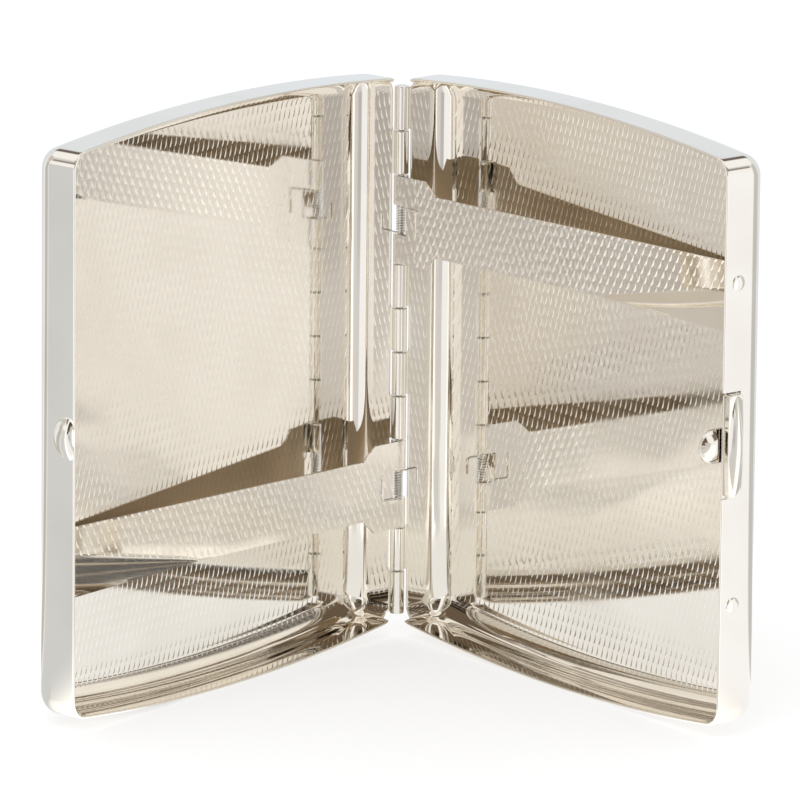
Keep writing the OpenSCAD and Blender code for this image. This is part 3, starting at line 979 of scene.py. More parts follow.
@dataclass
class Knuckles:
    """The tubes of the hinge, soldered to the trays in turn, and the pin through them."""

    case: CaseSizes
    hinge: Hinge
    end_round: float = 0.19
    sides: int = 72

    def make_row(self, side: Side, units: tuple[int, ...], body: str, node: str, finish: bpy.types.Material) -> None:
        """Builds the knuckles of one tray."""
        c = self.case
        spots = self.hinge.on_pin(np.array([[0, 0, c.unit_middle(k)] for k in units]))
        bore = c.pin_r + (0 if side is Side.LEFT else c.pin_clearance)
        values = {
            "Outer radius": c.knuckle_r * MM,
            "Bore radius": bore * MM,
            "Length": (c.unit - c.knuckle_gap) * MM,
            "End rounding": self.end_round * MM,
            "Sides": self.sides,
            "Material": finish,
        }
        piece = knuckle_tree().applied(f"{side.name.lower()}_knuckle_row", spots, [], values)
        seat(piece, body, "hinge_metal", node)

    def make_pin(self, body: str, finish: bpy.types.Material) -> None:
        """Builds the pin, with rounded ends."""
        c = self.case
        half, r, soft = (c.hinge_len - c.knuckle_gap) / 2, c.pin_r, 0.12
        arc = [(r - soft + soft * math.sin(a), half - soft + soft * math.cos(a)) for a in np.linspace(0, math.pi / 2, 5)]
        profile = [(0.0, -half)] + [(a, -b) for a, b in arc] + arc[::-1] + [(0.0, half)]
        sheet = lathe(profile, 32)
        piece = build("hinge_pin_rod", sheet, self.hinge.on_pin(sheet.points), finish)
        seat(piece, body, "spring_steel", "hinge_pin")


# ---------------------------------------------------------------------------------------------
# Arms and their springs
# ---------------------------------------------------------------------------------------------


@dataclass
class Arm:
    """A sprung strip with two barrels on the pin and a lip along its lower edge.

    x runs along the arm from the pin, y over its face, and z up across it.
    """

    side: Side
    case: CaseSizes
    hinge: Hinge
    sheet: float = 0.4
    width: float = 10.5
    end_gap: float = 4.4
    root_len: float = 6.6
    shoulder_len: float = 2.7
    tip_gap: float = 0.15
    tip_r: float = 1.2
    lip_len: float = 32.4
    lip_w: float = 6.6
    lip_rise: float = 2.6
    lip_flare: float = 0.4
    lip_seed: float = 0.3
    lip_curl: float = 0.6
    lip_bend: float = 0.12
    window: float = 5.1
    window_margin: float = 1.1
    crown_step: float = 0.07
    edge: float = 0.17
    smooth_root: float = 4.6
    twist: float = 0.045

    @property
    def length(self) -> float:
        """Distance from the pin to the tip."""
        return self.case.wall_in - self.end_gap

    @property
    def top(self) -> float:
        """Height of the strip's face over the pin's axis."""
        return self.case.knuckle_r - self.crown_step

    @property
    def low(self) -> float:
        """Height of the strip's back over the pin's axis."""
        return self.top - self.sheet

    @property
    def fall(self) -> float:
        """Angle in degrees by which the arm falls to its tray's base."""
        drop = self.case.tray_depth - self.case.sheet - self.tip_gap
        reach = math.hypot(self.low, self.length)
        return math.degrees(math.asin(drop / reach) + math.atan(self.low / self.length))

    @property
    def along(self) -> float:
        """Place of the arm's middle along the pin."""
        return self.side.value * self.case.arm_along

    @property
    def root_half(self) -> float:
        """Half the width of the root."""
        return self.case.unit - self.case.knuckle_gap / 2

    @property
    def window_x(self) -> float:
        """Where the window for the spring ends."""
        return self.case.knuckle_r + self.window_margin

    def half_width(self, x: np.ndarray) -> np.ndarray:
        """Half the arm's width at a distance from the pin."""
        strip = self.width / 2
        end = self.root_len + self.shoulder_len
        wide = np.interp(x, [self.root_len, end], [self.root_half, strip])
        into = np.clip(x - (self.length - self.tip_r), 0, self.tip_r)
        return wide - self.tip_r + np.sqrt(np.maximum(self.tip_r**2 - into**2, 0))

    def _stations(self) -> np.ndarray:
        """Distances from the pin at which the strip is cut across."""
        end = self.root_len + self.shoulder_len
        lip = self.length - self.lip_len
        tip = self.length - self.tip_r
        curve = tip + self.tip_r * np.sin(np.linspace(0, math.pi / 2, 7)[1:])
        parts = [
            np.linspace(self.window_x, self.root_len, 6),
            np.linspace(self.root_len, end, 4)[1:],
            np.linspace(end, lip, 14)[1:],
            np.linspace(lip, tip, 30)[1:],
            curve,
        ]
        return np.concatenate(parts)

    def _rows(self) -> np.ndarray:
        """Places across the arm at the root, from the lower edge up. Negative numbers up to -1
        stand for shares of the lip."""
        half, gap = self.root_half, self.window / 2
        low = np.linspace(-half + self.lip_seed, -gap, 8)
        return np.concatenate([low, np.linspace(-gap, gap, 7)[1:], np.linspace(gap, half, 7)[1:]])

    def _height(self, x: float, beyond: np.ndarray, span: float, share: float) -> np.ndarray:
        """Rise of the lip over the strip, at distances beyond its bend."""
        soft = self.lip_bend * share + 1e-6
        t = (beyond + np.sqrt(beyond**2 + soft**2)) / 2 / span
        rise = self.lip_rise * share
        return rise * ((1 - self.lip_curl) * t + self.lip_curl * t * t)

    def _face(self) -> tuple[np.ndarray, np.ndarray]:
        """The strip's face as a grid of points, with its stations down and its rows across, and
        for each point the sheet coordinates and the way past the lip's bend."""
        rows = self._rows()
        lip_shares = np.linspace(1, 0, 11)[:-1]
        grid, flat = [], []
        for x in self._stations():
            half = float(self.half_width(np.array(x)))
            share = float(np.clip((x - (self.length - self.lip_len)) / (self.lip_len - self.tip_r), 0, 1))
            bend = self.lip_seed + (self.lip_w - self.lip_seed) * share - half
            bend += (half - self.width / 2) * share
            free = -half - self.lip_flare * share
            span = bend - free
            scale = (half - bend) / (self.root_half * 2 - self.lip_seed)
            main = bend + (rows - rows[0]) * scale
            lip = bend - lip_shares * span
            z = np.concatenate([lip, main])
            z[0] = free
            beyond = np.clip(bend - z, -0.6, None)
            fade = ramp(bend - z, -0.6, -0.1) if share > 0 else np.zeros(len(z))
            y = self._height(x, beyond, span, share) * fade
            y = y + self.twist * (half - z) * max(0.0, x - self.root_len) / (self.length - self.root_len)
            grid.append(np.stack([np.full(len(z), x), self.top + y, z], 1))
            flat.append(np.stack([np.full(len(z), x), z, np.maximum(beyond, 0) * 2], 1))
        return np.array(grid), np.array(flat)

    def _barrel_loop(self) -> tuple[np.ndarray, np.ndarray]:
        """The cut through a barrel and its strap: points, and how far each is along the sheet."""
        r = self.case.knuckle_r
        straps = np.linspace(self.window_x, 0.0, 6)
        blend = ramp(straps, 0.2, 1.3)
        tops = np.stack([straps, r + (self.top - r) * blend], 1)
        turn = np.linspace(90, 360 + math.degrees(math.asin(self.low / r)), 44)[1:]
        ring = np.stack([r * np.cos(np.radians(turn)), r * np.sin(np.radians(turn))], 1)
        under = np.array([[self.window_x, self.low]])
        loop = np.concatenate([tops, ring, under])
        run = np.concatenate([straps, -r * np.radians(turn - 90), [self.window_x]])
        return loop, run

    def mesh(self) -> Sheet:
        """The whole arm."""
        grid, flat = self._face()
        stations, columns = grid.shape[:2]
        face = grid.reshape(-1, 3)
        back = face.copy()
        back[:, 1] -= self.sheet
        points = [face, back]
        count = stations * columns
        faces = band_faces(stations, columns, 0, closed=False)
        faces += [f[::-1] for f in band_faces(stations, columns, count, closed=False)]
        rim = []
        for i in range(stations - 1):
            for column in (0, columns - 1):
                a, b = i * columns + column, (i + 1) * columns + column
                rim.append((a, b, b + count, a + count))
        gap = self.window / 2
        z0 = grid[0, :, 2]
        for j in range(columns - 1):
            last = (stations - 1) * columns + j
            rim.append((last, last + 1, last + 1 + count, last + count))
            if -gap - 1e-6 < z0[j] and z0[j + 1] < gap + 1e-6:
                rim.append((j, j + 1, j + 1 + count, j + count))
        faces += rim
        flat = flat.reshape(-1, 3)
        uv = np.concatenate([flat[:, :2]] * 2)
        past = np.maximum(np.maximum(0, self.smooth_root - points[0][:, 0]), flat[:, 2])
        sides = np.repeat([0.0, 1.0], count)
        whole = Sheet(np.concatenate(points), faces, uv, np.concatenate([past, past]), sides)
        loop, run = self._barrel_loop()
        for ends in (z0[z0 < -gap + 1e-6], z0[z0 > gap - 1e-6]):
            whole = whole.joined(self._barrel(loop, run, ends))
        return whole

    def _barrel(self, loop: np.ndarray, run: np.ndarray, places: np.ndarray) -> Sheet:
        """One barrel with its strap, open towards the strip, and bored for the pin."""
        bore = self.case.pin_r + self.case.pin_clearance
        n = len(loop)
        points = [np.stack([loop[:, 0], loop[:, 1], np.full(n, z)], 1) for z in places]
        faces = band_faces(len(places), n, 0, closed=False)
        uv = [np.stack([run, np.full(n, z)], 1) for z in places]
        hole = np.radians(np.linspace(0, 360, 32, endpoint=False) + 90)
        rings = [np.stack([bore * np.cos(hole), bore * np.sin(hole), np.full(32, z)], 1) for z in (places[0], places[-1])]
        start = len(places) * n
        faces += [(start + i, start + 32 + i, start + 32 + (i + 1) % 32, start + (i + 1) % 32) for i in range(32)]
        total = start + 64
        points = np.concatenate(points + rings)
        uv = np.concatenate(uv + [rings[0][:, [0, 2]], rings[1][:, [0, 2]]])
        sheet = Sheet(points, faces, uv, np.full(total, 9.0))
        for k, first in ((0, 0), (1, (len(places) - 1) * n)):
            sheet.faces += self._cap(points, list(range(first, first + n)), list(range(start + 32 * k, start + 32 * k + 32)))
        return sheet

    @staticmethod
    def _cap(points: np.ndarray, outer: list[int], hole: list[int]) -> list[tuple[int, ...]]:
        """Faces between the outline of a barrel's end and its bore."""
        def angle(i: int) -> float:
            return math.atan2(points[i][1], points[i][0])

        outer = sorted(outer, key=angle)
        hole = sorted(hole, key=angle)
        faces: list[tuple[int, ...]] = []
        i = j = 0
        while i < len(outer) or j < len(hole):
            a, b = outer[i % len(outer)], hole[j % len(hole)]
            next_a = angle(outer[(i + 1) % len(outer)]) + (2 * math.pi if i + 1 >= len(outer) else 0)
            next_b = angle(hole[(j + 1) % len(hole)]) + (2 * math.pi if j + 1 >= len(hole) else 0)
            if j >= len(hole) or (i < len(outer) and next_a <= next_b):
                faces.append((a, outer[(i + 1) % len(outer)], b))
                i += 1
            else:
                faces.append((a, hole[(j + 1) % len(hole)], b))
                j += 1
        return faces

    def make(self, body: str, node: str, finish: bpy.types.Material) -> None:
        """Builds the arm and seats it on its body."""
        sheet = self.mesh()
        world = self.hinge.on_arm(self.side, self.fall, self.along, sheet.points)
        name = "upper_holding_arm" if self.side is Side.RIGHT else "lower_holding_arm"
        piece = build(name, sheet, world, finish, sharp=50, edge=Edge(self.edge, 55), merge=0.01)
        seat(piece, body, "arm_metal", node)


@dataclass
class ArmSpring:
    """A wire spring wound on the pin, with one leg on the arm and one on the other tray's wall."""

    arm: Arm
    wire_r: float = 0.15
    clearance: float = 0.07
    turns: int = 10
    end_gap: float = 0.15
    leg_gap: float = 0.05
    arm_reach: float = 4.9
    arm_up: float = 4.4
    wall_depth: float = 3.5
    wall_up: float = 2.8
    bend_r: float = 0.45
    start_turn: float = 120.0
    per_turn: int = 28
    sides: int = 14

    @property
    def half(self) -> float:
        """Half the coil's length, between the middles of its first and last turns."""
        return self.arm.window / 2 - self.end_gap - self.wire_r

    def _turned(self, point: tuple[float, float, float], angle: float) -> list[float]:
        """A point turned about the pin."""
        s, c = math.sin(math.radians(angle)), math.cos(math.radians(angle))
        return [point[0] * c - point[1] * s, point[0] * s + point[1] * c, point[2]]

    def _on_arm(self, x: float, y: float, z: float) -> list[float]:
        """A point of the arm's frame round the pin, for the lower arm."""
        return self._turned((x, y, z), -90 - self.arm.hinge.half_open - self.arm.fall)

    def _on_wall(self, x: float, y: float, z: float) -> list[float]:
        """A point of the other tray's frame round the pin, for the lower arm."""
        p = self._turned((x, y, z), -90 - self.arm.hinge.half_open)
        return [-p[0], p[1], p[2]]

    def _bend(self, before: list[float], corner: list[float], after: list[float]) -> list[list[float]]:
        """Points of a round bend of the wire at a corner."""
        a, b, c = (np.array(p) for p in (before, corner, after))
        u, v = (a - b) / np.linalg.norm(a - b), (c - b) / np.linalg.norm(c - b)
        made = []
        for t in np.linspace(0, math.pi / 2, 6):
            made.append(list(b + self.bend_r * ((1 - math.sin(t)) * u + (1 - math.cos(t)) * v)))
        return made

    def _arm_leg(self) -> list[list[float]]:
        """The leg that lies on the arm, from its free end to the coil."""
        y = self.arm.top + self.leg_gap + self.wire_r
        z, x = -self.half, self.arm_reach
        tip, corner, root = self._on_arm(x, y, self.arm_up + z), self._on_arm(x, y, z), self._on_arm(1.6, y, z)
        return [tip] + self._bend(tip, corner, root) + [root, self._on_arm(0.95, 1.32, z)]

    def _coil(self) -> list[list[float]]:
        """The coil, from the arm's leg to the wall's leg."""
        r = self.arm.case.pin_r + self.clearance + self.wire_r
        first = -90 - self.arm.hinge.half_open - self.arm.fall + self.start_turn
        last = -90 + self.arm.hinge.half_open + 360 * self.turns
        count = round((last - first) / 360 * self.per_turn)
        made = []
        for f in np.linspace(0, 1, count + 1):
            t = math.radians(first + (last - first) * f)
            made.append([r * math.cos(t), r * math.sin(t), self.half * (2 * f - 1)])
        return made

    def _wall_leg(self) -> list[list[float]]:
        """The leg behind the other tray's wall, from the coil to its free end."""
        c = self.arm.case
        x = c.spine_offset + c.sheet + self.leg_gap + self.wire_r
        z, d = self.half, self.wall_depth
        root, corner, tip = self._on_wall(x, -1.2, z), self._on_wall(x, -d, z), self._on_wall(x, -d, z - self.wall_up)
        return [root] + self._bend(root, corner, tip) + [tip]

    def _place(self, path: list[list[float]]) -> np.ndarray:
        """World coordinates of a path of the lower arm's spring, or of the same turned over."""
        points = np.array(path)
        if self.arm.side is Side.RIGHT:
            points = points * [-1, 1, -1]
        return self.arm.hinge.on_pin(points + [0, 0, self.arm.along])

    def _wire(self, name: str, path: list[list[float]], finish: bpy.types.Material) -> bpy.types.Object:
        """One stretch of wire."""
        points = self._place(path)
        edges = [(i, i + 1) for i in range(len(points) - 1)]
        values = {"Wire radius": self.wire_r * MM, "Sides": self.sides, "Material": finish}
        return wire_tree().applied(name, points, edges, values)

    def make(self, body: str, other: str, node: str, finish: bpy.types.Material) -> None:
        """Builds the spring. Its coil turns with the arm, and its last leg with the other tray."""
        coil = self._coil()
        name = "upper" if self.arm.side is Side.RIGHT else "lower"
        seat(self._wire(f"{name}_spring_coil", self._arm_leg() + coil, finish), body, "spring_steel", node)
        leg = [coil[-2]] + [coil[-1]] + self._wall_leg()
        seat(self._wire(f"{name}_spring_wall_leg", leg, finish), other, "spring_steel")


# ---------------------------------------------------------------------------------------------
# Catch
# ---------------------------------------------------------------------------------------------


@dataclass
class Catch:
    """The thumb piece outside the right front wall and the nose that reaches over the rim."""

    case: CaseSizes
    hinge: Hinge
    thumb_proud: float = 1.2
    thumb_corner: float = 0.8
    pad_rise: float = 1.1
    pad_sides: int = 96
    pad_rings: int = 14
    nose_t: float = 0.6
    leaf_w: float = 3.4
    edge: float = 0.12

    def _plate_ring(self, u: float, inset: float) -> np.ndarray:
        """A ring of the thumb piece's plate with round corners."""
        c = self.case
        half_l, half_w = c.thumb_len / 2 - inset, c.thumb_w / 2 - inset
        r = self.thumb_corner - inset
        t = np.linspace(0, 2 * math.pi, self.pad_sides, endpoint=False)
        z = np.sign(np.cos(t)) * (half_l - r) + r * np.cos(t)
        n = np.sign(np.sin(t)) * (half_w - r) + r * np.sin(t)
        share = np.minimum(1, np.abs(np.cos(t)) * 12)
        z = np.where(np.abs(np.cos(t)) < 0.62, (half_l - r) * np.cos(t) / 0.62 * 1.0 + r * np.cos(t), z)
        return np.stack([np.full(len(t), u), n * np.where(share > 0, 1, 1) - c.thumb_rim_gap - c.thumb_w / 2, z], 1)

    def _pad_ring(self, u: float, share: float, rise: float) -> np.ndarray:
        """A ring of the almond-shaped pad."""
        c = self.case
        t = np.linspace(0, 2 * math.pi, self.pad_sides, endpoint=False)
        s = np.sin(t)
        z = (c.thumb_len / 2 - 0.1) * np.cos(t) * share
        n = (c.thumb_w / 2 - 0.1) * s * np.abs(s) ** 0.6 * share - c.thumb_rim_gap - c.thumb_w / 2
        return np.stack([np.full(len(t), u + rise), n, z], 1)

    def thumb_mesh(self) -> Sheet:
        """The plate and its pad."""
        c = self.case
        top = c.tray_w + self.thumb_proud
        rings = [self._plate_ring(c.tray_w, 0)]
        for a in np.linspace(0, math.pi / 2, 5):
            soft = self.edge
            rings.append(self._plate_ring(top - soft + soft * math.sin(a), soft * (1 - math.cos(a))))
        for f in (1.0, 0.995, 0.98):
            rings.append(self._pad_ring(top, f, 0.0 if f == 1.0 else self.pad_rise * (1 - f * f)))
        for k in range(2, self.pad_rings):
            f = math.cos(math.pi / 2 * k / self.pad_rings)
            rings.append(self._pad_ring(top, f, self.pad_rise * (1 - f * f)))
        n = self.pad_sides
        pole = np.array([[top + self.pad_rise, -c.thumb_rim_gap - c.thumb_w / 2, 0]])
        points = np.concatenate(rings + [pole])
        faces = band_faces(len(rings), n)
        last = (len(rings) - 1) * n
        faces += [(last + i, last + (i + 1) % n, len(points) - 1) for i in range(n)]
        faces.append(tuple(range(n)))
        return plain_sheet(points, faces)

    def plug_mesh(self) -> Sheet:
        """The part of the thumb piece that fills the wall's notch up to the rim."""
        c = self.case
        u = (c.wall_in + 0.25, c.tray_w + 0.04)
        n = (-c.thumb_rim_gap - c.thumb_w, c.rim)
        z = (-c.thumb_len / 2, c.thumb_len / 2)
        points = [(a, b, d) for a in u for b in n for d in z]
        faces = [(0, 1, 3, 2), (4, 6, 7, 5), (0, 4, 5, 1), (2, 3, 7, 6), (0, 2, 6, 4), (1, 5, 7, 3)]
        return plain_sheet(np.array(points), faces)

    def _boss_ring(self, share: float, u: float) -> np.ndarray:
        """A ring of the nose's boss, steep towards the rims and long on the other side."""
        c = self.case
        t = np.linspace(0, 2 * math.pi, 64, endpoint=False)
        crown = c.boss_low + c.boss_steep
        outline = c.boss_low + (c.nose_reach - c.boss_low) * np.maximum(np.sin(t), 0)
        n = crown + (outline - crown) * share
        return np.stack([np.full(64, u), n, (c.nose_r - c.boss_border) * np.cos(t) * share], 1)

    def _tab_ring(self, u: float, inset: float) -> np.ndarray:
        """A ring of the nose's plate: round at the top and straight-sided down to the leaf."""
        c = self.case
        r = c.nose_r - inset
        middle = c.nose_reach - c.nose_r
        foot = -c.leaf_depth - self.leaf_w / 2 + inset
        t = np.linspace(0, 2 * math.pi, 64, endpoint=False)
        z, s = r * np.cos(t), np.sin(t)
        n = np.where(s >= 0, middle + r * s, middle + (foot - middle) * np.minimum(1, -s * 1.6))
        z = np.where((s < 0) & (-s * 1.6 < 1), np.sign(z) * r, z)
        return np.stack([np.full(64, u), n, z], 1)

    def nose_mesh(self) -> Sheet:
        """The nose's plate with its boss."""
        c = self.case
        leaf = c.wall_in - c.leaf_t
        back, soft = leaf - self.nose_t, self.edge
        rings = []
        for a in np.linspace(math.pi / 2, 0, 4):
            rings.append(self._tab_ring(back + soft - soft * math.sin(a), soft * (1 - math.cos(a))))
        for a in np.linspace(0, math.pi / 2, 4):
            rings.append(self._tab_ring(leaf - soft + soft * math.sin(a), soft * (1 - math.cos(a))))
        rings += [self._boss_ring(0.985, leaf), self._boss_ring(0.965, leaf + 0.03)]
        for k in range(2, 14):
            f = math.cos(math.pi / 2 * k / 14)
            rings.append(self._boss_ring(f, leaf + c.nose_rise * (1 - f * f)))
        pole = np.array([[leaf + c.nose_rise, c.boss_low + c.boss_steep, 0]])
        points = np.concatenate(rings + [pole])
        faces = band_faces(len(rings), 64)
        last = (len(rings) - 1) * 64
        faces += [(last + i, last + (i + 1) % 64, len(points) - 1) for i in range(64)]
        faces.append(tuple(range(64)))
        return plain_sheet(points, faces)

    def make(self, body: str, finish: bpy.types.Material) -> None:
        """Builds the thumb piece and the nose."""
        place = self.hinge.on_tray
        pad = self.thumb_mesh()
        plug = self.plug_mesh()
        piece = build("thumb_press", pad, place(Side.RIGHT, pad.points), finish, sharp=60)
        seat(piece, body, "catch_metal", "thumb_piece")
        piece = build("thumb_press_plug", plug, place(Side.RIGHT, plug.points), finish, edge=Edge(0.1))
        seat(piece, body, "catch_metal")
        nose = self.nose_mesh()
        piece = build("catch_tongue", nose, place(Side.RIGHT, nose.points), finish, sharp=60)
        seat(piece, body, "catch_metal", "catch_nose")


@dataclass
class Leaf:
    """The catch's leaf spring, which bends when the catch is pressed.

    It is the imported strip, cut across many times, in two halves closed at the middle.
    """

    case: CaseSizes
    hinge: Hinge
    held: float = 9.0
    fixed: float = 1.6
    cuts: int = 24

    def _place(self, end: int, along: float) -> Vector:
        """A point on the upright line through the strip's middle, in metres."""
        return Vector((0.0, 0.0, (self.hinge.middle_z + end * along) * MM))

    def _half(self, name: str, end: int, finish: bpy.types.Material) -> bpy.types.Object:
        """One half of the strip, closed at the middle."""
        strip = frame["nodes"]["latch_spring"]
        mesh = strip.data.copy()
        mesh.name = name
        mesh.transform(strip.matrix_world)
        mesh.materials.clear()
        mesh.materials.append(finish)
        work = bmesh.new()
        work.from_mesh(mesh)
        across = Vector((0.0, 0.0, float(end)))
        for i, along in enumerate(np.linspace(0, self.case.rivet_offset - self.fixed, self.cuts)):
            parts = [*work.verts, *work.edges, *work.faces]
            place = self._place(end, float(along))
            bmesh.ops.bisect_plane(work, geom=parts, plane_co=place, plane_no=across, clear_inner=i == 0)
            if i == 0:
                bmesh.ops.holes_fill(work, edges=[e for e in work.edges if e.is_boundary])
        bmesh.ops.recalc_face_normals(work, faces=work.faces)
        work.to_mesh(mesh)
        work.free()
        mesh.shade_smooth()
        mesh.set_sharp_from_angle(angle=math.radians(30))
        return even_normals(new_object(name, mesh))

    def make(self, moving: str, still: str, finish: bpy.types.Material) -> None:
        """Builds both halves."""
        last = self.case.rivet_offset - self.fixed
        for name, end in (("leaf_spring_upper", 1), ("leaf_spring_lower", -1)):
            piece = self._half(name, end, finish)
            self._place(end, self.held)
            self._place(end, last)
            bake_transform(piece)
            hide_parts("latch_spring")
            report(piece, f"{moving} and {still}")


@dataclass
class Rivets:
    """The two rivets that hold the leaf spring inside the right front wall."""

    case: CaseSizes
    hinge: Hinge
    shank_r: float = 0.7
    head_r: float = 1.35
    head_h: float = 0.45
    sides: int = 40

    def make(self, body: str, finish: bpy.types.Material) -> None:
        """Builds both rivets as one row."""
        c = self.case
        inner, outer = c.wall_in - c.leaf_t, c.tray_w
        arc = np.linspace(0, math.pi / 2, 9)
        outline = [(self.head_r * math.sin(a), outer + self.head_h * math.cos(a)) for a in arc]
        outline += [(self.shank_r, outer), (self.shank_r, inner)]
        outline += [(self.head_r * math.sin(a), inner - self.head_h * math.cos(a)) for a in arc[::-1]]
        shift = self.head_r
        points = np.array([(r - shift, -h, 0) for r, h in outline]) * MM
        edges = [(i, i + 1) for i in range(len(points) - 1)]
        zero = self.hinge.on_tray(Side.RIGHT, np.array([[0, -c.leaf_depth, c.rivet_offset]]))[0]
        axis = Vector(self.hinge.on_tray(Side.RIGHT, np.array([[1, -c.leaf_depth, c.rivet_offset]]))[0] - zero)
        turn = axis.to_track_quat("Z", "Y").to_euler()
        values = {
            "Outline shift": shift * MM,
            "Sides": self.sides,
            "Rivets": 2,
            "First place": tuple(zero),
            "Spacing": (0.0, 0.0, -2 * c.rivet_offset * MM),
            "Axis turn": tuple(turn),
            "Material": finish,
        }
        piece = rivet_tree().applied("wall_rivets", points, edges, values)
        seat(piece, body, "catch_metal", "upper_rivet", "lower_rivet")


# ---------------------------------------------------------------------------------------------
# Studio
# ---------------------------------------------------------------------------------------------


@dataclass(frozen=True)
class Card:
    """A soft-edged zone of the studio's walls, in degrees: its middle to the left of straight
    ahead, its height over the horizon, their half widths and soft edges, and its brightness."""

    middle: float
    height: float
    half: tuple[float, float]
    soft: tuple[float, float]
    colour: Colour


@dataclass
class Studio:
    """A white room with a pale floor, large soft cards round the case, and the camera."""

    hinge: Hinge
    base: Colour = (1.02, 1.02, 1.02)
    # near: painted shade, the grey that the floor shows to the metal close round the case
    near: Colour = (0.90, 0.90, 0.89)
    cards: tuple[Card, ...] = (
        Card(0, 35, (24, 29), (3, 2), (0.15, 0.115, 0.082)),
        Card(0, 53, (24, 1.6), (3, 1.5), (0.30, 0.24, 0.18)),
        Card(12, 13, (11, 12), (2, 1.5), (0.03, 0.024, 0.018)),
        Card(8, 10, (14, 0.8), (2, 0.6), (0.50, 0.43, 0.34)),
        Card(8, 18, (14, 0.6), (2, 0.5), (0.30, 0.25, 0.19)),
        Card(-23, 12, (13, 11), (3, 2), (0.66, 0.63, 0.58)),
        Card(103, 27, (12, 11), (3, 3), (0.62, 0.585, 0.54)),
        Card(74, 36, (14, 12), (5, 3), (0.20, 0.17, 0.15)),
        Card(-74, 36, (14, 12), (5, 3), (0.20, 0.17, 0.15)),
        Card(180, 10, (62, 32), (8, 3), (0.80, 0.845, 0.90)),
        Card(-9.5, -28, (14, 31), (1, 2), (0.70, 0.70, 0.71)),
        Card(23, -20, (18.5, 23), (1, 2), (0.99, 0.995, 1.015)),
        Card(1.5, -29.5, (4, 3.2), (1, 1), (0.99, 0.995, 1.015)),
        Card(-1, -36, (6, 4), (4, 3), (0.86, 0.86, 0.87)),
        Card(-4, -42, (6, 4), (3, 2), (0.83, 0.83, 0.84)),
        Card(-3, -6, (9, 5), (3, 3), (0.54, 0.53, 0.545)),
        Card(-28, -28, (8, 31), (3, 2), (0.74, 0.715, 0.68)),
        Card(53, -22, (12, 30), (4, 2), (1.30, 1.30, 1.30)),
        Card(-49, -22, (16, 30), (4, 2), (1.28, 1.28, 1.28)),
        Card(78, -22, (13, 31), (3, 2), (0.68, 0.70, 0.72)),
        Card(-78, -22, (13, 31), (3, 2), (1.03, 1.04, 1.08)),
        Card(-36, -38, (6, 10), (2, 2), (0.72, 0.71, 0.70)),
        Card(103, -17, (9, 33), (3, 8), (0.55, 0.55, 0.53)),
        Card(-106, -10, (14, 40), (3, 8), (0.60, 0.61, 0.60)),
        Card(180, 46, (40, 6), (5, 3), (0.17, 0.14, 0.13)),
    )

    def _glow(self) -> bpy.types.NodeTree:
        """The colour of the studio's walls in a direction, as a node group."""
        group = bpy.data.node_groups.new("studio_glow", "ShaderNodeTree")
        group.interface.new_socket("Direction", in_out="INPUT", socket_type="NodeSocketVector")
        group.interface.new_socket("Color", in_out="OUTPUT", socket_type="NodeSocketColor")
        g = Graph(group)
        source, sink = g.node("NodeGroupInput"), g.node("NodeGroupOutput")
        unit = g.node("ShaderNodeVectorMath", operation="NORMALIZE")
        g.join(source.outputs[0], unit.inputs[0])
        split = g.node("ShaderNodeSeparateXYZ")
        g.join(unit.outputs[0], split.inputs[0])
        x, y, z = split.outputs
        angle = g.math("MULTIPLY", g.math("ARCTAN2", g.math("MULTIPLY", x, -1.0), g.math("MULTIPLY", y, -1.0)), 180 / math.pi)
        height = g.math("MULTIPLY", g.math("ARCSINE", z), 180 / math.pi)
        colour: object = self.base + (1.0,)
        for card in self.cards:
            aside = g.math("ABSOLUTE", g.math("WRAP", g.math("SUBTRACT", angle, card.middle), 180.0, -180.0))
            above = g.math("ABSOLUTE", g.math("SUBTRACT", height, card.height))
            share = g.step(above, card.half[1] + card.soft[1], card.half[1] - card.soft[1] - 1e-3)
            if card.half[0] < 180:
                side = g.step(aside, card.half[0] + card.soft[0], card.half[0] - card.soft[0])
                share = g.math("MULTIPLY", share, side)
            colour = g.blend(share, colour, card.colour + (1.0,))
        g.join(colour, sink.inputs[0])
        return group

    def _glow_node(self, g: Graph, group: bpy.types.NodeTree, direction: object) -> bpy.types.NodeSocket:
        """The glow in a direction."""
        made = g.node("ShaderNodeGroup", node_tree=group)
        g.join(direction, made.inputs[0])
        return made.outputs[0]

    def make_world(self, group: bpy.types.NodeTree) -> None:
        """The room: white for the camera, with its cards for what the metal reflects."""
        world = bpy.data.worlds.new("room")
        world.use_nodes = True
        world.node_tree.nodes.clear()
        bpy.context.scene.world = world
        g = Graph(world.node_tree)
        way = g.node("ShaderNodeTexCoord").outputs["Generated"]
        rays = g.node("ShaderNodeLightPath")
        colour = g.blend(rays.outputs["Is Glossy Ray"], (0.9, 0.9, 0.9, 1.0), self._glow_node(g, group, way))
        colour = g.blend(rays.outputs["Is Camera Ray"], colour, (1.0, 1.0, 1.0, 1.0))
        light = g.node("ShaderNodeBackground")
        g.join(colour, light.inputs["Color"])
        g.join(light.outputs[0], g.node("ShaderNodeOutputWorld").inputs["Surface"])

